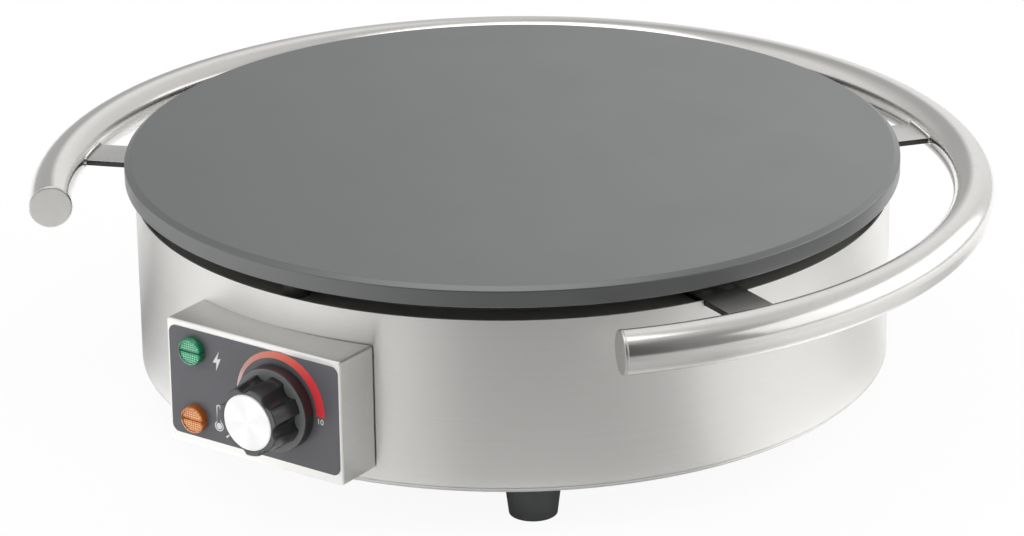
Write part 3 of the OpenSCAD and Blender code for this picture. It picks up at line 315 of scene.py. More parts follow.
def buildFloor(s):
    # paper that metal sees in levels of its own, and that the camera sees nearly white with its shadows kept
    half = s["floorSize"] / 2
    mesh = bpy.data.meshes.new("floor")
    square = [(-half, -half, 0), (half, -half, 0), (half, half, 0), (-half, half, 0)]
    mesh.from_pydata(square, [], [(0, 1, 2, 3)])
    floor = addObject("floor", mesh)
    material = bpy.data.materials.new("floorPaper")
    material.use_nodes = True
    tree = material.node_tree
    tree.nodes.clear()
    tint = toned(tree, noise(tree, place(tree), scale=900.0, detail=2.0), s["floorColor"], 0.985, 1.0)
    path = addNode(tree, "ShaderNodeLightPath")
    centred = place(tree, move=(0, -axisY, 0))
    away = vectorMath(tree, "LENGTH", centred)
    near = levelAround(tree, centred, s["floorStretch"], s["floorLevels"])
    far = levelAround(tree, centred, s["floorStretch"], s["farLevels"])
    levels = mixColor(tree, mapped(tree, away, *s["farEdges"]), near, far)
    levels = vectorMath(tree, "MULTIPLY", levels, mapped(tree, away, *s["nearEdges"], s["nearLift"], 1.0))
    tint = mixColor(tree, path.outputs["Is Glossy Ray"], tint, levels)
    paper = addNode(tree, "ShaderNodeBsdfDiffuse", {"Color": tint})
    white = addNode(tree, "ShaderNodeEmission", {"Color": (1, 1, 1, 1), "Strength": 1.0})
    seen = mathNode(tree, "MULTIPLY", path.outputs["Is Camera Ray"], s["floorWhite"])
    both = addNode(tree, "ShaderNodeMixShader", {0: seen, 1: paper.outputs[0], 2: white.outputs[0]})
    addNode(tree, "ShaderNodeOutputMaterial", {"Surface": both.outputs[0]})
    mesh.materials.append(material)


def buildWorld(s):
    # white where the camera looks; metal sees walls of uneven level; matt surfaces get even light
    world = bpy.data.worlds.new("studio")
    bpy.context.scene.world = world
    world.use_nodes = True
    tree = world.node_tree
    tree.nodes.clear()
    path = addNode(tree, "ShaderNodeLightPath")
    ray = addNode(tree, "ShaderNodeTexCoord").outputs["Generated"]
    high = mapped(tree, partsOf(tree, ray)[2], *s["ceilingEdges"])
    walls = mixColor(tree, high, levelAround(tree, ray, 1.0, s["wallLevels"]), (s["ceiling"],) * 3)
    level = mathNode(tree, "MULTIPLY", walls, path.outputs["Is Glossy Ray"])
    notGlossy = mathNode(tree, "SUBTRACT", 1.0, path.outputs["Is Glossy Ray"])
    diffuse = mathNode(tree, "MULTIPLY", notGlossy, s["worldDiffuse"])
    light = mathNode(tree, "ADD", level, diffuse)
    plainWhite = mathNode(tree, "MAXIMUM", path.outputs["Is Camera Ray"], path.outputs["Is Transmission Ray"])
    strength = mathNode(tree, "MAXIMUM", light, plainWhite)
    background = addNode(tree, "ShaderNodeBackground", {"Color": (1, 1, 1, 1), "Strength": strength})
    addNode(tree, "ShaderNodeOutputWorld", {"Surface": background.outputs[0]})


def buildLamps(table):
    aim = np.array([0.0, axisY, studio["lampAim"]])
    for name, (azimuth, elevation, distance, width, height, power, seen, falls) in table.items():
        data = bpy.data.lights.new(name, "AREA")
        data.shape = "RECTANGLE"
        data.size, data.size_y = width, height
        data.energy = power
        lamp = addObject(name, data)
        lamp.visible_glossy = seen
        lamp.visible_diffuse = falls
        right, up, away = axesAt(azimuth, elevation)
        setAxes(lamp, right, up, away, aim + distance * away)


buildFloor(studio)
buildWorld(studio)
buildLamps(lamps)
print("floor, world and lamps in place")

# ---- surfaces ----


def gridQuads(nu, nv, wrapU):
    # corner indices of every cell of an nu by nv grid of points
    i, j = np.meshgrid(np.arange(nu if wrapU else nu - 1), np.arange(nv - 1), indexing="ij")
    k = (i + 1) % nu
    return np.stack([i * nv + j, k * nv + j, k * nv + j + 1, i * nv + j + 1], -1).reshape(-1, 4)


def gridShell(points):
    # one skin over a grid of points (nu, nv, 3), whose last row meets its first
    nu, nv = points.shape[:2]
    return points.reshape(-1, 3), gridQuads(nu, nv, True)


def sheetShell(outer, inner, keep=None, wrapU=False):
    # two skins over the kept cells of a grid, joined by a wall along every open edge
    nu, nv = outer.shape[:2]
    cells = (nu if wrapU else nu - 1, nv - 1)
    keep = np.ones(cells, bool) if keep is None else keep
    quads = gridQuads(nu, nv, wrapU).reshape(*cells, 4)
    shift = nu * nv
    faces = [quads[keep], quads[keep][:, ::-1] + shift]
    around = np.zeros((cells[0] + 2, cells[1] + 2), bool)
    around[1:-1, 1:-1] = keep
    if wrapU:
        around[0, 1:-1], around[-1, 1:-1] = keep[-1], keep[0]
    sides = ((around[:-2, 1:-1], 0, 3), (around[2:, 1:-1], 2, 1),
             (around[1:-1, :-2], 1, 0), (around[1:-1, 2:], 3, 2))
    for beside, a, b in sides:
        edge = quads[keep & ~beside]
        faces.append(np.stack([edge[:, a], edge[:, b], edge[:, b] + shift, edge[:, a] + shift], -1))
    return np.concatenate([outer.reshape(-1, 3), inner.reshape(-1, 3)]), np.concatenate(faces)


def joined(shells):
    # several shells as one list of points and one of faces
    starts = np.cumsum([0] + [len(points) for points, faces in shells[:-1]])
    return (np.concatenate([points for points, faces in shells]),
            np.concatenate([faces + start for (points, faces), start in zip(shells, starts)]))


def mendMesh(mesh, gap):
    # merges points closer than the gap, drops loose ones and points the faces outwards
    work = bmesh.new()
    work.from_mesh(mesh)
    bmesh.ops.remove_doubles(work, verts=work.verts, dist=gap)
    loose = [v for v in work.verts if not v.link_faces]
    bmesh.ops.delete(work, geom=loose, context="VERTS")
    bmesh.ops.recalc_face_normals(work, faces=work.faces)
    work.to_mesh(mesh)
    work.free()


def setPoints(mesh, points):
    mesh.vertices.foreach_set("co", np.ascontiguousarray(points, np.float32).ravel())


def makePiece(name, shell, material, body, replaces=(), sharp=40.0, uv=None):
    # puts a shell into a mesh, closes its seams and poles and rides it on its body
    points, faces = shell
    mesh = bpy.data.meshes.new(name)
    mesh.vertices.add(len(points))
    setPoints(mesh, points)
    mesh.loops.add(faces.size)
    mesh.loops.foreach_set("vertex_index", np.ascontiguousarray(faces, np.int32).ravel())
    mesh.polygons.add(len(faces))
    mesh.polygons.foreach_set("loop_start", np.arange(0, faces.size, faces.shape[1], dtype=np.int32))
    mesh.update(calc_edges=True)
    if uv is not None:
        layer = mesh.uv_layers.new(name="along")
        layer.data.foreach_set("uv", np.ascontiguousarray(uv[faces.ravel()], np.float32).ravel())
    mendMesh(mesh, 2e-6)
    mesh.shade_smooth()
    mesh.set_sharp_from_angle(angle=np.radians(sharp))
    mesh.materials.append(material)
    piece = addObject(name, mesh)
    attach(piece, body)
    if replaces:
        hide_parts(*replaces)


def unit(vectors):
    return vectors / np.maximum(np.linalg.norm(vectors, axis=-1, keepdims=True), 1e-12)


def filletPath(stations, closed=False, steps=6, support=0.35):
    # a path of straight runs whose corners (x, y, radius) are rounded by arcs. A further point stands off
    # both ends of each arc, by the support's share of its radius. A closed path ends on its first point.
    table = np.array(stations, float)
    p, r = table[:, :2], table[:, 2]
    toBefore, toAfter = unit(np.roll(p, 1, 0) - p), unit(np.roll(p, -1, 0) - p)
    if not closed:
        r = r.copy()
        r[[0, -1]] = 0.0
    inside = np.clip((toBefore * toAfter).sum(1), -0.9999, 0.9999)
    half = np.arccos(inside) / 2
    reach = r / np.tan(half)
    centre = p + unit(toBefore + toAfter) * (r / np.sin(half))[:, None]
    start, end = p + toBefore * reach[:, None] - centre, p + toAfter * reach[:, None] - centre
    t = np.linspace(0, 1, steps + 1)[None, :, None]
    w = (np.pi - 2 * half)[:, None, None]
    arc = (np.sin((1 - t) * w) * start[:, None] + np.sin(t * w) * end[:, None]) / np.sin(w)
    arc += centre[:, None]
    before = arc[:, :1] + (toBefore * (support * r)[:, None])[:, None]
    after = arc[:, -1:] + (toAfter * (support * r)[:, None])[:, None]
    path = np.concatenate([before, arc, after], 1).reshape(-1, 2)
    gap = np.linalg.norm(np.diff(path, axis=0, prepend=path[:1] - 1.0), axis=1)
    path = path[gap > 1e-9]
    return np.concatenate([path, path[:1]]) if closed else path


def onceRound(count):
    # a column of angles, evenly spaced over a full turn
    return (np.arange(count) * turn / count)[:, None]


def polarGrid(r, a, z):
    # (r cos a, r sin a, z), with the angles in a column
    x = r * np.cos(a)
    return np.stack([x, r * np.sin(a), np.broadcast_to(z, x.shape)], -1)


def lathe(profile, count):
    # turns a profile of (radius, height) about the Z axis
    return polarGrid(profile[:, 0], onceRound(count), profile[:, 1])


def atBearing(points, bearing, radius, height):
    # local x across, y inwards and z up, set down at a bearing and a radius about the drum's axis
    b = np.radians(bearing)
    x, y, z = points[..., 0], points[..., 1] - radius, points[..., 2]
    return np.stack([x * np.cos(b) - y * np.sin(b), x * np.sin(b) + y * np.cos(b) + axisY, z + height], -1)


def onPanel(points, x, z):
    # local x to the right, y up and z outwards, set down on the label's front
    return np.stack([points[..., 0] + x, labelFront - points[..., 2], points[..., 1] + z], -1)


def sweepRod(path, outward, radius):
    # a rod of changing radius (n, sides) carried along a path (n, 3); outward (n, 3) is never along the path
    ahead = unit(np.gradient(path, axis=0))
    side = unit(np.cross(ahead, outward))
    up = np.cross(side, ahead)
    a = onceRound(radius.shape[1])
    rod = path[:, None] + (np.cos(a) * side[:, None] + np.sin(a) * up[:, None]) * radius[..., None]
    ends = [np.repeat(rod[i].mean(0)[None, None], len(a), 1) for i in (0, -1)]
    return np.concatenate([ends[0], rod, ends[1]], 0).transpose(1, 0, 2)


# ---- finishes ----

finish = {}   # material of each slot, and of what differs from its slot

# In these recipes toned() takes two shares of a color. mapped() takes a range and the one it becomes, and
# fromNoise() only the second; where that isn't written, it is 0 to 1.


def castIron():
    # fine turned rings, a soft mottled seasoning and a lighter band on the bevel, partly edge polish and
    # partly a painted highlight
    c = {"color": (0.028, 0.031, 0.032), "roughness": 0.36, "ringPitch": 1500.0, "bevelFrom": plateR - 0.0034}
    color = c["color"]
    material, tree, shader = newMaterial("castIron", color, c["roughness"], Specular_IOR_Level=1.0,
                                         Coat_Weight=0.54, Coat_IOR=2.0, Coat_Roughness=0.38)
    centred = place(tree, move=(0, -axisY, 0))
    radius = awayFromAxis(tree, centred, (1, 1, 0))
    rings = turnedRings(tree, radius, c["ringPitch"])
    mottle = noise(tree, centred, scale=14.0, detail=5.0, roughness=0.6)
    grain = noise(tree, centred, scale=2600.0, detail=2.0)
    bevel = mapped(tree, radius, c["bevelFrom"], c["bevelFrom"] + 0.0004)
    speck = toned(tree, mapped(tree, grain, 0.35, 0.7), color, 0.86, 1.12)
    tone = mixColor(tree, 0.35, toned(tree, mottle, color, 0.90, 1.10), speck)
    # painted highlight, partly edge polish: the bevel's band is laid lighter than the face
    tone = veiled(tree, tone, bevel, 0.10, shade(color, 1.5))
    rough = mathNode(tree, "ADD", fromNoise(tree, mottle, 0.35, 0.41), fromNoise(tree, grain, -0.02, 0.03))
    normal = bumpOn(tree, grain, 0.00003, 0.5, bumpOn(tree, rings, 0.00002, 0.35))
    feed(tree, shader, Base_Color=tone, Roughness=rough, Normal=normal)
    return material


def brushedSteel(name, color, roughness, along, anisotropy, axis):
    # long fine scratches: noise that is slow along the brushing and quick across it, at two pitches
    material, tree, shader = newMaterial(name, color, roughness, 1.0, Anisotropic=anisotropy,
                                         Anisotropic_Rotation=0.25)
    coarse = noise(tree, place(tree, scale=along), detail=4.0, roughness=0.65)
    fine = noise(tree, place(tree, scale=tuple(3.1 * k for k in along)))
    cloud = noise(tree, place(tree, scale=(7, 7, 7)))
    coarse, fine = mathNode(tree, "MULTIPLY", coarse, 0.6), mathNode(tree, "MULTIPLY", fine, 0.4)
    lines = mathNode(tree, "ADD", coarse, fine)
    tone = toned(tree, mapped(tree, lines, 0.32, 0.68), color, 0.955, 1.04)
    tone = veiled(tree, tone, cloud, 0.25, shade(color, 0.90))
    rough = fromNoise(tree, lines, roughness - 0.05, roughness + 0.06)
    tangent = addNode(tree, "ShaderNodeTangent", direction_type="RADIAL", axis=axis).outputs[0]
    normal = bumpOn(tree, lines, 0.000006, 0.5)
    feed(tree, shader, Base_Color=tone, Roughness=rough, Normal=normal, Tangent=tangent)
    return material


def foldedSteel(name, color, roughness):
    # very fine brushing that runs level on every face: a face that looks along X takes its lines from Y.
    # Faces that look to the front are painted lighter, a painted highlight.
    material, tree, shader = newMaterial(name, color, roughness, 1.0)
    wide = noise(tree, place(tree, scale=(9, 2600, 2600)), roughness=0.6)
    deep = noise(tree, place(tree, scale=(2600, 9, 2600)), roughness=0.6)
    look = facing(tree)
    isSide = mathNode(tree, "GREATER_THAN", mathNode(tree, "ABSOLUTE", look[0]), 0.7)
    paintedFrontLight = mapped(tree, look[1], -0.25, -0.75)
    lines = addNode(tree, "ShaderNodeMix", {0: isSide, 2: wide, 3: deep}).outputs[0]
    cloud = noise(tree, place(tree, scale=(16, 16, 16)))
    tone = toned(tree, mapped(tree, lines, 0.32, 0.68), color, 0.96, 1.03)
    tone = veiled(tree, tone, cloud, 0.25, shade(color, 0.90))
    # painted highlight: faces that look to the front are laid lighter than the rest
    tone = mixColor(tree, paintedFrontLight, tone, toned(tree, lines, color, 1.20, 1.28))
    rough = fromNoise(tree, lines, roughness - 0.03, roughness + 0.05)
    feed(tree, shader, Base_Color=tone, Roughness=rough, Normal=bumpOn(tree, lines, 0.000003, 0.5))
    return material


def polishedSteel(name, color, roughness, grain):
    # buffed metal: faint cloudy haze, fine handling marks and hardly any bump
    material, tree, shader = newMaterial(name, color, roughness, 1.0)
    cloud = noise(tree, place(tree, scale=(16, 16, 16)), detail=4.0, roughness=0.6)
    marks = noise(tree, place(tree, scale=grain), detail=5.0, roughness=0.7)
    tone = toned(tree, cloud, color, 0.95, 1.04)
    tone = mixColor(tree, mapped(tree, marks, 0.55, 0.8, 0.0, 0.4), tone, shade(color, 0.82))
    rough = mathNode(tree, "ADD", fromNoise(tree, cloud, roughness - 0.04, roughness + 0.06),
                     mapped(tree, marks, 0.5, 0.8, 0.0, 0.08))
    feed(tree, shader, Base_Color=tone, Roughness=rough, Normal=bumpOn(tree, marks, 0.00002, 0.4))
    return material


def grainy(name, color, roughness, grain, depth, spread, metallic):
    # moulded, cast or sprayed stuff: speckled tone, uneven roughness and a fine surface grain
    material, tree, shader = newMaterial(name, color, roughness, metallic)
    fine = noise(tree, place(tree), scale=grain)
    cloud = noise(tree, place(tree), scale=grain / 60, detail=4.0)
    tone = toned(tree, fromNoise(tree, fine), color, 1 - spread, 1 + spread)
    tone = veiled(tree, tone, cloud, 0.4, shade(color, 1 - 1.2 * spread))
    rough = mathNode(tree, "ADD", fromNoise(tree, cloud, roughness - 0.05, roughness + 0.05),
                     fromNoise(tree, fine, -0.02, 0.04))
    feed(tree, shader, Base_Color=tone, Roughness=rough, Normal=bumpOn(tree, fine, depth, 0.6))
    return material


def rolledBar(name, color, roughness, edge):
    # flat bar: grainy rolled faces, and sides painted in the edge's near-black color as painted shade
    material = grainy(name, color, roughness, 900.0, 0.00001, 0.05, 0.88)
    tree = material.node_tree
    shader = tree.nodes["Principled BSDF"]
    tone = shader.inputs["Base Color"].links[0].from_socket
    # painted shade: faces that look sideways take the dark edge color
    isSide = mathNode(tree, "LESS_THAN", mathNode(tree, "ABSOLUTE", facing(tree)[2]), 0.6)
    feed(tree, shader, Base_Color=mixColor(tree, isSide, tone, edge))
    return material


def lensPlastic(name, color, deep, glintColor):
    # clear tinted moulding with painted highlights: a lattice of bright dots laid where the small prisms of
    # its back would catch the light, none in a band along the groove; the rim beyond the face is darker
    c = {"pitch": 0.00115, "prismPart": 0.84, "band": 0.0005, "soft": 0.0002}
    material, tree, shader = newMaterial(name, color, 0.14, IOR=1.49, Coat_Weight=0.4, Coat_Roughness=0.06,
                                         Transmission_Weight=0.05)
    lo, hi = corners("lamp_" + name)
    middle = (lo + hi) / 2
    faceR = c["prismPart"] * (hi[0] - lo[0]) / 2
    centred = place(tree, move=(-middle[0], 0, -middle[2]))
    parts = partsOf(tree, centred)
    across = mathNode(tree, "PINGPONG", parts[0], c["pitch"] / 2)
    upward = mathNode(tree, "PINGPONG", parts[2], c["pitch"] / 2)
    peak = c["pitch"] ** 2 / 4
    # painted highlights: a lattice of bright dots
    glintDot = mapped(tree, mathNode(tree, "MULTIPLY", across, upward), 0.14 * peak, 0.45 * peak)
    radius = awayFromAxis(tree, centred, (1, 0, 1))
    glintDot = mathNode(tree, "MULTIPLY", glintDot, mapped(tree, radius, faceR - c["soft"], faceR, 1.0, 0.0))
    offBand = mapped(tree, mathNode(tree, "ABSOLUTE", parts[2]), c["band"], c["band"] + 0.0003)
    haze = noise(tree, place(tree), scale=420.0)
    tone = mixColor(tree, mapped(tree, haze, 0.35, 0.65), deep, color)
    tone = veiled(tree, tone, glintDot, offBand, glintColor)
    tone = mixColor(tree, mapped(tree, radius, faceR + 0.0001, faceR + 0.0006), tone, shade(deep, 0.7))
    feed(tree, shader, Base_Color=tone, Roughness=fromNoise(tree, haze, 0.10, 0.22))
    return material


def spunAluminium():
    # fine concentric turning, with broad faint rays painted darker as a painted reflection of the spun finish
    c = {"color": (0.90, 0.90, 0.905), "ringPitch": 6000.0, "rays": 4.0}
    color = c["color"]
    material, tree, shader = newMaterial("spunAluminium", color, 0.26, 1.0, Anisotropic=0.75)
    centred = place(tree, move=(-knobX, 0, -knobZ))
    rings = turnedRings(tree, awayFromAxis(tree, centred, (1, 0, 1)), c["ringPitch"])
    parts = partsOf(tree, centred)
    angle = mathNode(tree, "ARCTAN2", parts[2], parts[0])
    wave = mathNode(tree, "SINE", mathNode(tree, "MULTIPLY", angle, c["rays"]))
    rays = mapped(tree, wave, -1.0, 1.0, 0.0, 0.6)
    # painted reflection: four broad darker rays laid round the insert
    tone = mixColor(tree, rays, toned(tree, rings, color, 0.97, 1.02), shade(color, 0.86))
    tangent = addNode(tree, "ShaderNodeTangent", direction_type="RADIAL", axis="Y").outputs[0]
    feed(tree, shader, Base_Color=tone, Roughness=fromNoise(tree, rings, 0.22, 0.30),
         Normal=bumpOn(tree, rings, 0.000004, 0.4), Tangent=tangent)
    return material


def scaleInk():
    # print that warms from near white through salmon to red along the crescent's own length
    material, tree, shader = newMaterial("scaleInk", (0.8, 0.06, 0.05), 0.42)
    along = partsOf(tree, addNode(tree, "ShaderNodeTexCoord").outputs["UV"])[0]
    ink = colorRamp(tree, along, (
        (0.0, (0.86, 0.74, 0.72)), (0.14, (0.72, 0.40, 0.37)), (0.36, (0.84, 0.27, 0.19)),
        (0.58, (0.86, 0.14, 0.10)), (0.75, (0.80, 0.05, 0.06)), (1.0, (0.78, 0.035, 0.045))))
    grain = noise(tree, place(tree), scale=4000.0, detail=2.0)
    tone = veiled(tree, ink, grain, 0.10, (0.5, 0.02, 0.02))
    feed(tree, shader, Base_Color=tone, Roughness=fromNoise(tree, grain, 0.36, 0.5))
    return material


def facedPlastic(name, face, side, roughness):
    # moulded plastic whose front faces are duller, and painted greyer than its glossy dark sides as painted
    # light from the front
    material, tree, shader = newMaterial(name, side, roughness, Specular_IOR_Level=0.7)
    isFace = mapped(tree, mathNode(tree, "ABSOLUTE", facing(tree)[1]), 0.75, 0.95)
    fine = noise(tree, place(tree), scale=1600.0)
    speck = fromNoise(tree, fine)
    # painted light: faces that look to the front take the lighter face color, the sides the near-black one
    tone = mixColor(tree, isFace, toned(tree, speck, side, 0.8, 1.2), toned(tree, speck, face, 0.9, 1.1))
    rough = mathNode(tree, "ADD", mapped(tree, isFace, 0.0, 1.0, roughness, 0.5),
                     fromNoise(tree, fine, -0.02, 0.04))
    feed(tree, shader, Base_Color=tone, Roughness=rough, Normal=bumpOn(tree, fine, 0.00002, 0.5))
    return material


def labelFilm():
    # printed polyester film with a very fine sprayed texture
    color = (0.114, 0.115, 0.127)
    material, tree, shader = newMaterial("labelFilm", color, 0.36, Specular_IOR_Level=0.55)
    fine = noise(tree, place(tree), scale=5200.0, detail=2.0)
    cloud = noise(tree, place(tree), scale=30.0)
    tone = toned(tree, fine, color, 0.92, 1.08)
    tone = veiled(tree, tone, cloud, 0.3, shade(color, 0.9))
    feed(tree, shader, Base_Color=tone, Roughness=fromNoise(tree, cloud, 0.33, 0.42),
         Normal=bumpOn(tree, fine, 0.000015, 0.5))
    return material


# Grainy finishes: color, roughness, grain per metre, depth of the bump, spread of the tone, metal's share
grainySet = {
    "dark_steel": ((0.32, 0.312, 0.288), 0.60, 1200.0, 0.00003, 0.12, 0.2),
    # near-black finish for the plate's standoffs, painted shade where they show under the plate
    "blackSteel": ((0.06, 0.059, 0.056), 0.55, 1200.0, 0.00003, 0.12, 0.2),
    "element_sheath": ((0.10, 0.10, 0.095), 0.50, 900.0, 0.00003, 0.12, 0.6),
    "foot_rubber": ((0.058, 0.061, 0.061), 0.62, 1800.0, 0.00005, 0.20, 0.0),
    "ceramic": ((0.80, 0.78, 0.72), 0.45, 700.0, 0.00002, 0.04, 0.0),
    "fibre": ((0.78, 0.77, 0.73), 0.95, 500.0, 0.0004, 0.10, 0.0),
    "copper": ((0.72, 0.36, 0.22), 0.32, 600.0, 0.00002, 0.10, 1.0),
    "brass": ((0.76, 0.58, 0.28), 0.30, 600.0, 0.00002, 0.08, 1.0),
    "white_ink": ((0.86, 0.86, 0.86), 0.42, 4000.0, 0.00001, 0.03, 0.0),
    "black_plastic": ((0.028, 0.028, 0.029), 0.40, 1500.0, 0.00003, 0.20, 0.0),
    "bakelite": ((0.72, 0.70, 0.64), 0.50, 900.0, 0.00002, 0.06, 0.0),
    "button_red": ((0.62, 0.03, 0.025), 0.35, 1500.0, 0.00002, 0.12, 0.0),
    "wire_sleeve": ((0.26, 0.10, 0.045), 0.50, 1500.0, 0.00003, 0.12, 0.0),
}

# Polished finishes: color, roughness, grain per metre along X, Y and Z
polishedSet = {
    "handle_steel": ((0.70, 0.69, 0.67), 0.17, (120, 120, 500)),
    "capSteel": ((0.60, 0.595, 0.575), 0.30, (160, 160, 160)),
    "plain_steel": ((0.55, 0.55, 0.54), 0.32, (300, 300, 300)),
    "weldBead": ((0.62, 0.61, 0.59), 0.24, (700, 700, 700)),
}

# Lenses: color, tone in the depth, painted highlight dots
lensColors = {
    "green_lens": ((0.010, 0.34, 0.15), (0.004, 0.20, 0.085), (0.36, 0.85, 0.60)),
    "amber_lens": ((0.85, 0.26, 0.04), (0.52, 0.13, 0.012), (1.0, 0.68, 0.34)),
}

# Nodes whose finish differs from the rest of their slot; the standoffs' near-black one is painted shade under
# the plate
ownFinish = {"plate_standoffs": "blackSteel"}


def makeFinishes():
    for recipe, table in ((grainy, grainySet), (polishedSteel, polishedSet), (lensPlastic, lensColors)):
        for slot, values in table.items():
            finish[slot] = recipe(slot, *values)
    finish["cast_iron"] = castIron()
    finish["drum_steel"] = brushedSteel("drumSteel", (0.785, 0.777, 0.756), 0.37, (5, 5, 2200), 0.85, "Z")
    finish["box_steel"] = foldedSteel("boxSteel", (0.72, 0.714, 0.695), 0.40)
    # the bars' last color is the painted shade of their sides
    finish["barSteel"] = rolledBar("barSteel", (0.60, 0.595, 0.58), 0.30, (0.05, 0.05, 0.049))
    finish["label_film"] = labelFilm()
    finish["scale_ink"] = scaleInk()
    # knob finishes: face and side colors, the face's lighter grey being painted light
    finish["knob_plastic"] = facedPlastic("knobPlastic", (0.085, 0.088, 0.088), (0.011, 0.011, 0.011), 0.22)
    finish["knobFace"] = facedPlastic("knobFace", (0.165, 0.170, 0.170), (0.012, 0.012, 0.012), 0.35)
    finish["spun_aluminium"] = spunAluminium()


def dressNodes():
    # gives every node of the frame the finish of its slot, or its own
    for part in frame["record"]["subparts"]:
        slots = nodes[part["node"]].data.materials
        slots.clear()
        slots.append(finish[ownFinish.get(part["node"], part["material_slot"])])


makeFinishes()
dressNodes()
print("finishes made:", len(finish))

# ---- cooking plate ----

plateSet = {
    "bevelWide": 0.0030, "bevelHigh": 0.0020,      # the chamfer round the top edge
    "softTop": 0.0007, "softEdge": 0.0009, "softBottom": 0.0006,
    "thick": 0.0105,
    "ribInner": 0.1575, "ribWide": 0.005, "ribDeep": 0.003, "ribSoft": 0.0005,
    "bossR": 0.013, "bossDeep": 0.008, "bossSoft": 0.001,
    "fixR": 0.183, "fixBossR": 0.009, "fixDeep": 0.002, "fixSunk": 0.001, "fixSoft": 0.0004,
    "fixBearings": (0, 120, 240),
    "around": 320, "bossAround": 48,               # points round the plate and round each boss
}


def buildPlate(c):
    # one profile turned about the axis: face, chamfer, side, underside with its rib and centre boss
    top = plateHi[2]
    bottom = top - c["thick"]
    ribOuter = c["ribInner"] + c["ribWide"]
    profile = filletPath([
        (0, top, 0), (plateR - c["bevelWide"], top, c["softTop"]),
        (plateR, top - c["bevelHigh"], c["softEdge"]), (plateR, bottom, c["softBottom"]),
        (ribOuter, bottom, c["softBottom"]), (ribOuter, bottom - c["ribDeep"], c["ribSoft"]),
        (c["ribInner"], bottom - c["ribDeep"], c["ribSoft"]), (c["ribInner"], bottom, c["softBottom"]),
        (c["bossR"], bottom, c["bossSoft"]), (c["bossR"], bottom - c["bossDeep"], c["ribSoft"]),
        (0, bottom - c["bossDeep"], 0)])
    boss = filletPath([(0, c["fixSunk"], 0), (c["fixBossR"], c["fixSunk"], 0),
                       (c["fixBossR"], -c["fixDeep"], c["fixSoft"]), (0, -c["fixDeep"], 0)])
    boss = lathe(boss, c["bossAround"])
    shells = [gridShell(lathe(profile, c["around"]) + [0, axisY, 0])]
    shells += [gridShell(atBearing(boss, b, c["fixR"], bottom)) for b in c["fixBearings"]]
    makePiece("plate", joined(shells), finish["cast_iron"], "root", ["cooking_plate"])


buildPlate(plateSet)
print("cooking plate done")

# ---- drum ----

drumSet = {
    "sheet": 0.001, "bend": 0.0013, "bendSteps": 8,
    "lip": 0.014,
    "columns": 360, "rows": 15, "startBearing": -40,    # the first column stands clear of every cut
    "clear": 0.0008,                               # even columns and rows nearer to a cut's own are dropped
    "notchHalf": 0.0128, "notchDeep": 0.003,
    "windowHalf": 0.0472, "windowLow": 0.0355, "windowHigh": 0.088,
    "glandZ": 0.054, "glandR": 0.0082,
    "seamBearing": 158.0, "seamHalf": 0.0008, "seamDeep": 0.00018,
}


def withLines(even, lines, near):
    # evenly spaced values with extra ones added, dropping even ones that stand too near to those
    lines = np.sort(np.array(lines, float))
    far = np.abs(even[:, None] - lines[None]).min(1) > near
    return np.sort(np.concatenate([even[far], lines]))


def roundHole(a, z, middleA, middleZ, radius):
    # draws the square ring of grid points round a hole onto a circle, fading out at twice its size
    da, dz = a - middleA, z - middleZ
    square = np.maximum(np.abs(da), np.abs(dz))
    away = np.hypot(da, dz)
    fade = np.clip(2 - square / radius, 0, 1)
    factor = np.where(away > 1e-9, square / np.maximum(away, 1e-9), 1.0)
    mix = 1 + (factor - 1) * fade
    return middleA + da * mix, middleZ + dz * mix


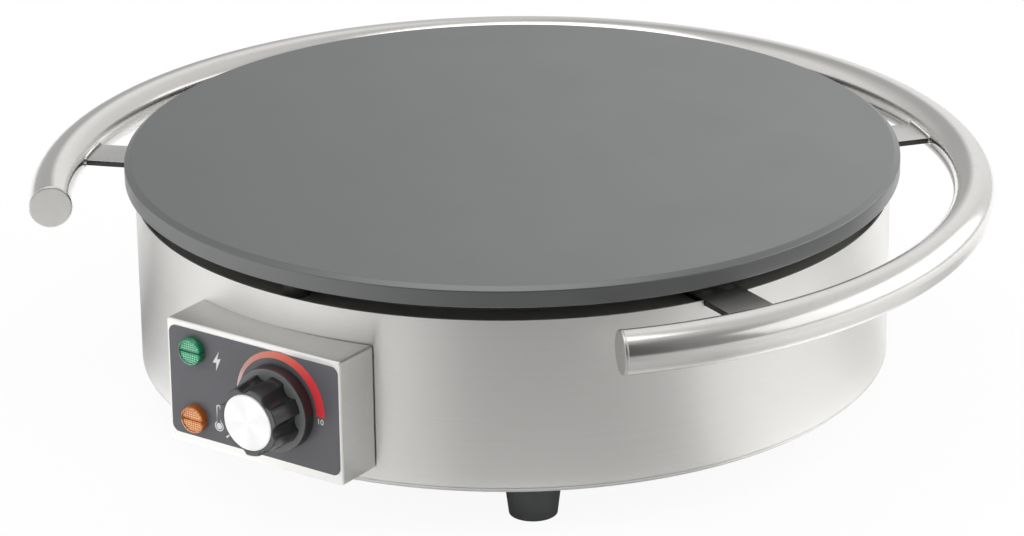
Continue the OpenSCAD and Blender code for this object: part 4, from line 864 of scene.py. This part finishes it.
def buildDrum(c):
    # the wall is r(bearing, height): a cylinder with a shallow seam, cut where bars, box and gland pass.
    # Its lower edge is carried round a bend into a flat lip.
    low, high = drumLo[2], drumHi[2]
    arc = drumR                                      # turns a bearing in radians into a length on the wall
    notch = [np.radians(b) * arc + s * c["notchHalf"] for b in barBearings.values() for s in (-1, 1)]
    window = [np.arcsin((boxMidX + s * c["windowHalf"]) / drumR) * arc for s in (-1, 1)]
    holeA = np.pi * arc
    holeRing = np.arange(-8, 9) * c["glandR"] / 4    # out to twice the hole's radius
    seamA = np.radians(c["seamBearing"]) * arc
    seam = seamA + np.arange(-4, 5) * c["seamHalf"] / 2
    even = np.radians(c["startBearing"]) * arc + np.arange(c["columns"]) * turn * arc / c["columns"]
    column = withLines(even, [*notch, *window, *(holeA + holeRing), *seam], c["clear"])
    edges = [low + c["bend"], high, high - c["notchDeep"], c["windowLow"], c["windowHigh"]]
    even = np.linspace(low + c["bend"] + c["clear"], high - c["clear"] / 2, c["rows"])
    wall = withLines(even, [*edges, *(c["glandZ"] + holeRing)], c["clear"])
    wall = wall[::-1]
    a, z = np.meshgrid(column, wall, indexing="ij")
    middleA, middleZ = (a[:-1, :-1] + a[1:, 1:]) / 2, (z[:-1, :-1] + z[1:, 1:]) / 2
    inWindow = (middleA > window[0]) & (middleA < window[1])
    keep = ~(inWindow & (middleZ > c["windowLow"]) & (middleZ < c["windowHigh"]))
    keep &= ~((np.abs(middleA - holeA) < c["glandR"]) & (np.abs(middleZ - c["glandZ"]) < c["glandR"]))
    inNotch = [(middleA > lo) & (middleA < hi) for lo, hi in zip(notch[::2], notch[1::2])]
    keep &= ~(np.any(inNotch, 0) & (middleZ > high - c["notchDeep"]))
    a, z = roundHole(a, z, holeA, c["glandZ"], c["glandR"])
    dip = c["seamDeep"] * np.exp(-((a - seamA) / c["seamHalf"]) ** 2)

    def skin(offset):
        # the bend's path starts anywhere up the wall, and that first point is left out
        bend = filletPath([(drumR - offset, high, 0), (drumR - offset, low + offset, c["bend"] - offset),
                           (drumR - c["sheet"] - c["lip"], low + offset, 0)], steps=c["bendSteps"])[1:]
        radius = np.concatenate([drumR - offset - dip, np.broadcast_to(bend[:, 0], (len(a), len(bend)))], 1)
        height = np.concatenate([z, np.broadcast_to(bend[:, 1], (len(a), len(bend)))], 1)
        angle = np.concatenate([a, np.repeat(a[:, -1:], len(bend), 1)], 1) / arc
        return np.stack([radius * np.sin(angle), axisY - radius * np.cos(angle), height], -1)

    outer, inner = skin(0.0), skin(c["sheet"])
    full = np.ones((len(column), outer.shape[1] - 1), bool)
    full[:-1, :keep.shape[1]] = keep
    makePiece("drum", sheetShell(outer, inner, full, wrapU=True), finish["drum_steel"], "root",
              ["drum_shell"])


buildDrum(drumSet)
print("drum done")

# ---- ring handle, its caps, bars and weld beads ----

handleSet = {
    "centreR": 0.2385, "tubeR": 0.01096, "wall": 0.0015,
    "endBearing": 47.6,
    "alongCount": 360, "roundCount": 48,
    "capThick": 0.0015, "capInset": 0.0001, "capSoft": 0.0005, "capCount": 96,
    "beadFrom": 0.9,        # share of the tube's radius beyond which the cap's bead ripples
    "beadR": 0.00045, "beadOut": 0.0003, "beadSoft": 0.0002, "beadRipple": 0.00010, "rippleCount": 34,
}


def buildHandle(c):
    # a circle carried along an arc about the drum's axis: the tube's outer and inner skins
    bearing = np.radians(np.linspace(c["endBearing"], 360 - c["endBearing"], c["alongCount"]))
    phi = onceRound(c["roundCount"])

    def skin(radius):
        r = c["centreR"] + radius * np.cos(phi) + 0 * bearing
        z = handleZ + radius * np.sin(phi) + 0 * bearing
        return np.stack([r * np.sin(bearing), axisY - r * np.cos(bearing), z], -1)

    tube = sheetShell(skin(c["tubeR"]), skin(c["tubeR"] - c["wall"]), wrapU=True)
    makePiece("handleTube", tube, finish["handle_steel"], "root", ["ring_handle"])


def buildHandleCap(c, name, sign, node):
    # a flat disc with a rippled weld bead where it meets the tube; its radius swells with the bead
    r, t, bead = c["tubeR"], c["capThick"], c["beadR"]
    profile = filletPath([
        (0, t, 0), (r - c["capInset"], t, c["capSoft"]), (r - c["capInset"], bead, c["beadSoft"]),
        (r + c["beadOut"], 0.0, c["beadOut"]), (r - c["beadOut"], -bead, 0), (0, -bead, 0)])
    disc = lathe(profile, c["capCount"])
    near = np.exp(-(disc[..., 2] / bead) ** 2) * (np.hypot(disc[..., 0], disc[..., 1]) > c["beadFrom"] * r)
    ripple = c["beadRipple"] * np.sin(c["rippleCount"] * onceRound(c["capCount"]))
    disc[..., :2] *= (1 + near * ripple / r)[..., None]
    b = np.radians(c["endBearing"])
    outward = np.array([-np.cos(b) * sign, -np.sin(b), 0.0])
    radial = np.array([np.sin(b) * sign, -np.cos(b), 0.0])
    points = radial * c["centreR"] + [0, axisY, handleZ] + disc @ np.array([radial, [0, 0, 1], outward])
    makePiece(name, gridShell(points), finish["capSteel"], "root", [node])


barSet = {
    "half": 0.0125, "thick": 0.003, "soft": 0.0004, "perSide": 3,
    "outerR": 0.22835, "innerR": 0.177, "endEase": 0.0003,      # the last is a share of the bar's length
    "weldR": 0.0012, "weldLift": 0.0003, "weldPast": 0.0005, "weldDrop": 0.0006, "weldBend": 0.0014,
    "weldFade": 0.0015, "weldTip": 0.25,                        # the tip is a share of the bead's thickness
    "ripple": 0.00016, "rippleStep": 0.0011, "weldPoints": 150, "weldSides": 12, "weldSteps": 10,
}


def roundedLoop(halfW, halfH, radius, perSide=1, perCorner=5):
    # a rectangle's outline with round corners, as points and their outward directions
    corner = np.linspace(0, turn / 4, perCorner)
    middles = np.array([(1, 1), (-1, 1), (-1, -1), (1, -1)]) * (halfW - radius, halfH - radius)
    angles = corner[None] + np.arange(4)[:, None] * turn / 4
    out = np.stack([np.cos(angles), np.sin(angles)], -1)
    arcs = middles[:, None] + radius * out
    t = np.linspace(0, 1, perSide + 1)[None, 1:, None]
    runs = arcs[:, -1:] + t * (np.roll(arcs[:, :1], -1, 0) - arcs[:, -1:])
    flat = np.repeat(out[:, -1:], perSide, 1)
    loop = np.concatenate([arcs, runs[:, :-1]], 1)
    way = np.concatenate([out, flat[:, :-1]], 1)
    return loop.reshape(-1, 2), way.reshape(-1, 2)


def buildBar(c, name, bearing, node):
    # a flat bar: a rounded rectangle carried inwards from the tube's wall, closed at both ends
    loop = roundedLoop(c["half"], c["thick"] / 2, c["soft"], perSide=c["perSide"])[0]
    along = np.array([0, 0, c["endEase"], 0.5, 1 - c["endEase"], 1, 1]) * (c["outerR"] - c["innerR"])
    scale = np.array([0, 1, 1, 1, 1, 1, 0])
    across, upward = loop[:, :1] * scale, loop[:, 1:] * scale
    points = np.stack([across, np.broadcast_to(along, across.shape), upward], -1)
    points = atBearing(points, bearing, c["outerR"], drumHi[2] - c["thick"] / 2)
    makePiece(name, gridShell(points), finish["barSteel"], "root", [node])


def buildWeld(c, name, bearing):
    # a rippled bead on the tube's skin: up one side of the bar's end, across its top and down the other
    half, bend = c["half"] + c["weldPast"], c["weldBend"]
    low, high = -c["thick"] - c["weldDrop"], c["weldLift"]
    outline = [(-half, low, 0), (-half, high, bend), (half, high, bend), (half, low, 0)]
    path = filletPath(outline, steps=c["weldSteps"], support=0)
    gaps = np.linalg.norm(np.diff(path, axis=0), axis=1)
    reach = np.concatenate([[0], np.cumsum(gaps)])
    s = np.linspace(0, reach[-1], c["weldPoints"])
    x = np.interp(s, reach, path[:, 0])
    z = np.interp(s, reach, path[:, 1]) + drumHi[2]
    tube = handleSet["centreR"] - np.sqrt(handleSet["tubeR"] ** 2 - (z - handleZ) ** 2)
    middle = atBearing(np.stack([x, -np.sqrt(tube ** 2 - x ** 2), z], -1), bearing, 0.0, 0.0)
    outward = atBearing(np.array([0.0, 1.0, 0.0]), bearing, 0, 0) - [0, axisY, 0]
    a = onceRound(c["weldSides"]).T
    ends = np.clip(np.minimum(s, s[-1] - s) / c["weldFade"], c["weldTip"], 1)[:, None]
    wave = np.sin(turn * s / c["rippleStep"])[:, None] * (0.6 + 0.4 * np.cos(a))
    rod = sweepRod(middle, np.broadcast_to(outward, middle.shape), c["weldR"] * ends + c["ripple"] * wave)
    makePiece(name, gridShell(rod), finish["weldBead"], "root")


buildHandle(handleSet)
buildHandleCap(handleSet, "handleCapLeft", -1, "handle_cap_left")
buildHandleCap(handleSet, "handleCapRight", 1, "handle_cap_right")
for side, bearing in barBearings.items():
    buildBar(barSet, "bar_" + side, bearing, "bracket_" + side)
    buildWeld(barSet, "weld_" + side, bearing)
print("handle done")

# ---- control box ----

boxSet = {
    "sheet": 0.0012, "corner": 0.0016, "fold": 0.0009, "frontRing": 0.0004, "foldEase": 0.0005,
    "perSide": 24, "foldSteps": 6,
    "seam": 0.0001,         # gap between the box's rear edge and the drum, on its left
    "seamMore": 0.0009,     # how much wider the gap is on its right
}


def buildBox(c):
    # a rounded rectangle carried from the drum to the front, over the fold and in across the panel, then back
    halfW, halfH = (boxHi[0] - boxLo[0]) / 2, (boxHi[2] - boxLo[2]) / 2
    folds = np.linspace(0, turn / 4, c["foldSteps"] + 1)

    def rows(inset, fold):
        loop, way = roundedLoop(halfW, halfH, c["corner"], perSide=c["perSide"])
        bend = fold * (1 - np.cos(folds))
        ins = inset + np.concatenate([[0, 0, 0], bend[1:], [fold + c["frontRing"]]])
        flat = loop[:, None] - way[:, None] * ins[None, :, None]
        x = flat[..., 0] + boxMidX
        gap = c["seam"] + c["seamMore"] * np.clip(flat[:, 0, 0] / halfW, 0, 1)
        rear = axisY - np.sqrt((drumR + gap) ** 2 - x[:, 0] ** 2)
        front = boxFront + inset
        depth = np.concatenate([[fold + c["foldEase"], fold], fold * (1 - np.sin(folds[1:])), [0.0]])
        y = np.concatenate([rear[:, None], np.broadcast_to(front + depth, (len(loop), len(depth)))], 1)
        skin = np.stack([x, y, flat[..., 1] + boxMidZ], -1)
        middle = np.broadcast_to(np.array([boxMidX, front, boxMidZ]), (len(loop), 1, 3))
        return np.concatenate([skin, middle], 1)

    outer, inner = rows(0.0, c["fold"]), rows(c["sheet"], 0.0)
    shell = gridShell(np.concatenate([outer[:, ::-1], inner], 1))
    makePiece("controlBox", shell, finish["box_steel"], "root", ["control_box"], sharp=30.0)


buildBox(boxSet)
print("control box done")

# ---- print on the label ----

printSet = {
    "thick": 0.00012,
    "scaleCentre": (0.001, 0.0013), "outerR": 0.0268, "innerR": 0.0235, "shift": (-0.0017, -0.0004),
    "sweepFrom": 173.0, "sweepTo": -3.0,       # degrees, anticlockwise from the right
    "scalePoints": 96,
    "boltAt": (-0.0220, 0.0160), "bulbAt": (-0.0221, -0.0185),
    "bulbR": 0.0027, "fullPart": 0.62, "stemHalf": 0.0013, "stemHigh": 0.0100, "line": 0.00055,
    "offAngle": 219.0,      # degrees, as above
    "offFrom": 0.0231, "offTo": 0.0271, "tickHalf": 0.0004,
    "numberAt": (0.0407, -0.0026), "numberSize": 0.0042,
}


def thinPrint(outline, thick):
    # a flat closed outline (n, 2) raised by the ink's thickness, with the face fanned from its middle
    middle = outline.mean(0)
    shrink = np.array([0.0, 1.0, 1.0, 0.0])[:, None]
    height = np.array([1.0, 1.0, 0.0, 0.0])[:, None] * thick
    flat = middle + (outline[:, None] - middle) * shrink
    return gridShell(np.concatenate([flat, np.broadcast_to(height, (*flat.shape[:2], 1))], -1))


def prism(strip, thick):
    # two matched edges (n, 2, 2) of a flat strip, raised by the ink's thickness
    top = np.concatenate([strip, np.full((*strip.shape[:2], 1), thick)], -1)
    return sheetShell(top, top * [1, 1, 0])


def onLabel(points):
    return onPanel(points, boxMidX, boxMidZ)


def circle(a):
    return np.stack([np.cos(a), np.sin(a)], -1)


knobSpot = np.array([knobX - boxMidX, knobZ - boxMidZ])     # the knob's axis, from the panel's middle


def buildScale(c):
    # a crescent between two circles; along a ray from the outer one's centre, the inner one lies at
    # ray.shift + sqrt((ray.shift)^2 - shift^2 + innerR^2)
    n = c["scalePoints"]
    ray = circle(np.radians(np.linspace(c["sweepFrom"], c["sweepTo"], n)))
    shift = np.array(c["shift"])
    along = ray @ shift
    inner = along + np.sqrt(along ** 2 - shift @ shift + c["innerR"] ** 2)
    reach = np.stack([np.full(n, c["outerR"]), inner], -1)[..., None]
    strip = knobSpot + c["scaleCentre"] + ray[:, None] * reach
    points, faces = prism(strip, c["thick"])
    share = np.tile(np.repeat(np.linspace(0, 1, n), 2), 2)
    across = np.tile([0.0, 1.0], 2 * n)
    makePiece("heatScale", (onLabel(points), faces), finish["scale_ink"], "root", ["dial_scale"],
              uv=np.stack([share, across], -1))


def buildSigns(c):
    # mains bolt, thermometer outline with a full bulb, and the off tick
    bolt = np.array([(1.5, 5.4), (-2.6, -1.2), (-0.3, -1.0), (-0.7, -5.4), (2.4, 1.5), (0.3, 1.0)]) * 0.001
    shells = [thinPrint(bolt[half] + c["boltAt"], c["thick"]) for half in ([0, 1, 2, 5], [2, 3, 4, 5])]
    full = circle(np.linspace(0, turn, 33)[:-1]) * c["bulbR"] * c["fullPart"]
    shells.append(thinPrint(full + c["bulbAt"], c["thick"]))
    gap = np.arcsin(c["stemHalf"] / c["bulbR"])
    bulb = circle(np.linspace(turn / 4 + gap, turn * 5 / 4 - gap, 25))
    dome = circle(np.linspace(0, turn / 2, 9))

    def thermometer(inset):
        stemTop = dome * (c["stemHalf"] - inset) + [0, c["stemHigh"]]
        return np.concatenate([bulb * (c["bulbR"] - inset), stemTop])

    ring = np.stack([thermometer(0.0), thermometer(c["line"])], 1) + c["bulbAt"]
    shells.append(prism(np.concatenate([ring, ring[:1]]), c["thick"]))
    off = np.radians(c["offAngle"])
    ends = knobSpot + circle(off) * np.array([c["offTo"], c["offFrom"]])[:, None]
    across = circle(off + turn / 4) * c["tickHalf"]
    shells.append(prism(np.stack([ends - across, ends + across], 1), c["thick"]))
    points, faces = joined(shells)
    makePiece("panelSigns", (onLabel(points), faces), finish["white_ink"], "root",
              ["panel_symbols"])


def buildNumber(c):
    # a plain number at the top of the heat scale, made a mesh before it is set down
    curve = bpy.data.curves.new("numberCurve", "FONT")
    curve.body = "10"
    curve.size = c["numberSize"]
    curve.extrude = c["thick"] / 2
    curve.align_x = "CENTER"
    text = addObject("numberText", curve)
    bpy.context.view_layer.update()
    mesh = bpy.data.meshes.new_from_object(text.evaluated_get(bpy.context.evaluated_depsgraph_get()))
    bpy.data.objects.remove(text)
    points = np.zeros(len(mesh.vertices) * 3)
    mesh.vertices.foreach_get("co", points)
    setPoints(mesh, onLabel(points.reshape(-1, 3) + [*c["numberAt"], c["thick"] / 2]))
    mesh.update()
    mendMesh(mesh, 1e-7)
    mesh.materials.clear()
    mesh.materials.append(finish["white_ink"])
    number = addObject("scaleNumber", mesh)
    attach(number, "root")


buildScale(printSet)
buildSigns(printSet)
buildNumber(printSet)
print("print done")

# ---- signal lamps ----

lampSet = {
    "x": -0.0365, "riseGreen": 0.0185, "riseAmber": -0.0175,
    "outerR": 0.0072, "proud": 0.0040, "bevel": 0.0013, "sunk": 0.0003,
    "faceR": 0.0061, "faceLow": 0.0006, "grooveHalf": 0.00055, "grooveDeep": 0.0010,
    "notchHalf": 9.0, "notchFade": 2.0,      # degrees
    "notchDeep": 0.0012, "notchLow": 0.0006,
    "rimGap": 0.0001, "rimDrop": 0.0002,     # the rim's inner edge stands off the face and below its own top
    "bevelAt": (0.3, 0.35),                  # a point on the rounded bevel, as shares of it inwards and down
    "rimFoot": 0.0005,
    "groovePart": 0.985,                     # share of the face's radius that the groove reaches
    "faceRings": 44, "around": 180,
}


def buildLens(c, name, rise, slot, node):
    # height h(radius, angle): a flat face with a level groove across its middle, then a bevelled rim that is
    # notched where the groove meets it
    a = onceRound(c["around"])
    face = np.linspace(0, c["faceR"], c["faceRings"])
    outerR, proud, bevel = c["outerR"], c["proud"], c["bevel"]
    inwards, down = c["bevelAt"]
    rim = np.array([
        (c["faceR"] + c["rimGap"], proud - c["rimDrop"]), (outerR - bevel, proud),
        (outerR - inwards * bevel, proud - down * bevel), (outerR, proud - bevel),
        (outerR, c["rimFoot"]), (outerR, -c["sunk"])])
    r = np.concatenate([face, rim[:, 0]]) + 0 * a
    groove = c["grooveDeep"] * np.exp(-(r * np.sin(a) / c["grooveHalf"]) ** 4)
    height = np.concatenate([np.full(len(face), proud - c["faceLow"]), rim[:, 1]])
    height = height - (r < c["faceR"] * c["groovePart"]) * groove
    off = np.degrees(np.minimum(np.minimum(a, turn - a), np.abs(a - np.pi)))
    notch = np.clip((c["notchHalf"] - off) / c["notchFade"], 0, 1) * (r > c["faceR"])
    r = r - notch * np.clip(r - (outerR - c["notchDeep"]), 0, None)
    points = polarGrid(r, a, height - notch * c["notchLow"])
    back = np.broadcast_to([0.0, 0.0, -c["sunk"]], (len(a), 1, 3))
    points = onPanel(np.concatenate([points, back], 1), boxMidX + c["x"], boxMidZ + rise)
    makePiece(name, gridShell(points), finish[slot], "root", [node], sharp=25.0)


buildLens(lampSet, "lensGreen", lampSet["riseGreen"], "green_lens", "lamp_green_lens")
buildLens(lampSet, "lensAmber", lampSet["riseAmber"], "amber_lens", "lamp_amber_lens")
print("lamps done")

# ---- knob ----

knobSet = {
    "skirtR": 0.0215, "skirtBack": 0.0008, "skirtThick": 0.0064, "skirtSoft": 0.0007, "rimSoft": 0.0004,
    "hubR": 0.0075, "hollow": 0.0040, "rim": 0.0018, "innerSoft": 0.0003, "rootSoft": 0.0005,
    "gripRootR": 0.0185, "gripFrontR": 0.0172, "gripHigh": 0.0174, "gripSunk": 0.0003,
    "flutes": 7, "fluteStart": 46.4, "fluteR": 0.0050, "fluteCentreR": 0.0202,
    "lobeSoft": 0.0005, "frontSoft": 0.0006,
    "insertR": 0.01435, "insertThick": 0.0014, "insertProud": 0.0004, "insertGap": 0.0002,
    "chamfer": 0.0004, "chamferSoft": 0.0002, "dish": 0.00012,
    "pointerHalf": 0.0004, "pointerFrom": 0.0148, "pointerTo": 0.0170,
    "around": 448, "gripRows": 20, "bendSteps": 6,
    "turnedAround": 192, "dishRings": 12,          # points round skirt and insert, and rings of its face
}
skirtFront = knobSet["skirtBack"] + knobSet["skirtThick"]
gripFront = skirtFront + knobSet["gripHigh"]
insertFront = gripFront + knobSet["insertProud"]
insertSeat = insertFront - knobSet["insertThick"]


def onKnob(points):
    return onPanel(points, knobX, knobZ)


def buildSkirt(c):
    # a turned profile with a hollow behind it
    back = c["skirtBack"]
    floor = back + c["hollow"]
    innerR = c["skirtR"] - c["rim"]
    profile = filletPath([
        (0, skirtFront, 0), (c["skirtR"], skirtFront, c["skirtSoft"]), (c["skirtR"], back, c["rimSoft"]),
        (innerR, back, c["innerSoft"]), (innerR, floor, c["rootSoft"]),
        (c["hubR"], floor, c["rootSoft"]), (c["hubR"], back, c["innerSoft"]), (0, back, 0)])
    points = onKnob(lathe(profile, c["turnedAround"]))
    makePiece("knobSkirt", gridShell(points), finish["knobFace"], "knob", ["knob"])


def buildGrip(c):
    # a cone cut by round flutes side by side, with d the angle from the nearest flute's middle:
    # r = min(cone(height), f cos d - sqrt(q^2 - (f sin d)^2)). Its front holds a well for the insert.
    a = onceRound(c["around"])
    pitch = turn / c["flutes"]
    d = (a - np.radians(c["fluteStart"]) + pitch / 2) % pitch - pitch / 2
    f, q = c["fluteCentreR"], c["fluteR"]
    under = np.clip(q ** 2 - (f * np.sin(d)) ** 2, 0, None)
    flute = np.where(under > 0, f * np.cos(d) - np.sqrt(under), 1.0)
    soft, ease = c["frontSoft"], c["lobeSoft"]
    bend = np.linspace(0, turn / 4, c["bendSteps"] + 1)[1:]
    straight = np.linspace(0, c["gripHigh"] - soft, c["gripRows"])
    rise = np.concatenate([[-c["gripSunk"]], straight, c["gripHigh"] - soft * (1 - np.sin(bend))])
    tuck = np.concatenate([np.zeros(len(straight) + 1), soft * (1 - np.cos(bend))])
    cone = c["gripRootR"] + (c["gripFrontR"] - c["gripRootR"]) * np.clip(rise / c["gripHigh"], 0, 1)
    mixed = np.clip(0.5 + (flute - cone) / (2 * ease), 0, 1)
    r = flute * (1 - mixed) + cone * mixed - ease * mixed * (1 - mixed) - tuck
    wellR = c["insertR"] + c["insertGap"]
    well = lathe(filletPath([(wellR, gripFront, 0), (wellR, insertSeat, 0), (0, insertSeat, 0)]), c["around"])
    points = onKnob(np.concatenate([polarGrid(r, a, skirtFront + rise), well], 1))
    makePiece("knobGrip", gridShell(points), finish["knob_plastic"], "knob", ["knob"],
              sharp=50.0)


def buildPointer(c):
    # a line on the grip's front, which points to the off tick when the knob is at rest
    angle = np.radians(printSet["offAngle"])
    reach = np.array([c["pointerFrom"], c["pointerTo"]])[:, None, None] * circle(angle)
    strip = reach + np.array([-1, 1])[None, :, None] * c["pointerHalf"] * circle(angle + turn / 4)
    points, faces = prism(strip, printSet["thick"])
    points = onKnob(points + [0, 0, gripFront])
    makePiece("knobPointer", (points, faces), finish["white_ink"], "knob")


def buildInsert(c):
    # a disc with a fine chamfer and a face dished by dish (1 - (r / R)^2)
    front = insertFront
    r = np.linspace(0, c["insertR"] - 2 * c["chamfer"], c["dishRings"])
    face = np.stack([r, front - c["dish"] * (1 - (r / c["insertR"]) ** 2)], -1)
    edge = filletPath([(c["insertR"] - 1.5 * c["chamfer"], front, 0),
                       (c["insertR"], front - c["chamfer"], c["chamferSoft"]),
                       (c["insertR"], insertSeat, 0), (0, insertSeat, 0)])
    points = onKnob(lathe(np.concatenate([face, edge]), c["turnedAround"]))
    makePiece("knobInsert", gridShell(points), finish["spun_aluminium"], "knob",
              ["knob_insert"])


buildSkirt(knobSet)
buildGrip(knobSet)
buildPointer(knobSet)
buildInsert(knobSet)
print("knob done")

# ---- feet ----

footSet = {
    "ringR": 0.172, "bearing": 38.0,
    "topR": 0.0145, "bottomR": 0.0120, "high": 0.0203, "bottomSoft": 0.0004, "topSoft": 0.00024,
    "recessR": 0.006, "recessDeep": 0.008, "boreR": 0.00275, "boreSoft": 0.0003,
    "around": 96,
}


def buildFoot(c, name, bearing, node):
    # a tapered plug turned about its own axis, with soft rims and a recess for its screw
    soft = c["bottomSoft"]
    profile = filletPath([
        (c["boreR"], c["recessDeep"], c["boreSoft"]), (c["recessR"], c["recessDeep"], soft),
        (c["recessR"], 0, soft), (c["bottomR"], 0, soft), (c["topR"], c["high"], c["topSoft"]),
        (c["boreR"], c["high"], c["boreSoft"])], closed=True)
    points = atBearing(lathe(profile, c["around"]), bearing, c["ringR"], 0.0)
    makePiece(name, gridShell(points), finish["foot_rubber"], "root", [node])


for side, bearing in (("front_right", footSet["bearing"]), ("rear_right", 180 - footSet["bearing"]),
                      ("rear_left", 180 + footSet["bearing"]), ("front_left", -footSet["bearing"])):
    buildFoot(footSet, "plug_" + side, bearing, "foot_" + side)
print("feet done")

# ---- gland cap at the rear ----

glandSet = {
    "z": 0.054, "from": 0.005, "long": 0.014, "nose": 0.004,
    "outerR": 0.0100, "noseR": 0.0070, "boreR": 0.0050, "threadR": 0.00808,
    "rearSoft": 0.0006, "shoulderSoft": 0.0012, "noseSoft": 0.0008, "lipSoft": 0.0004, "innerSoft": 0.0003,
    "ribs": 16, "ribDeep": 0.0006, "ribFade": 6, "gripFrom": 0.0095,
    "around": 192,
}


def buildGlandCap(c):
    # a turned cap whose grip swells and sinks round its axis, fading out at both ends
    body = c["long"] - c["nose"]
    profile = filletPath([
        (c["threadR"], 0, 0), (c["outerR"], 0, c["rearSoft"]), (c["outerR"], body, c["shoulderSoft"]),
        (c["noseR"], c["long"], c["noseSoft"]), (c["boreR"], c["long"], c["lipSoft"]),
        (c["boreR"], body, c["innerSoft"]), (c["threadR"], body, c["innerSoft"])], closed=True)
    cap = lathe(profile, c["around"])
    along = cap[..., 2] / body
    onGrip = np.clip(along * c["ribFade"], 0, 1) * np.clip((1 - along) * c["ribFade"], 0, 1)
    onGrip *= np.hypot(cap[..., 0], cap[..., 1]) > c["gripFrom"]
    wave = 0.5 - 0.5 * np.cos(c["ribs"] * onceRound(c["around"]))
    cap[..., :2] *= (1 - onGrip * c["ribDeep"] / c["outerR"] * wave)[..., None]
    points = np.stack([cap[..., 0], axisY + drumR + c["from"] + cap[..., 2], cap[..., 1] + c["z"]], -1)
    makePiece("glandNut", gridShell(points), finish["black_plastic"], "root", ["gland_cap"])


buildGlandCap(glandSet)
print("gland done")
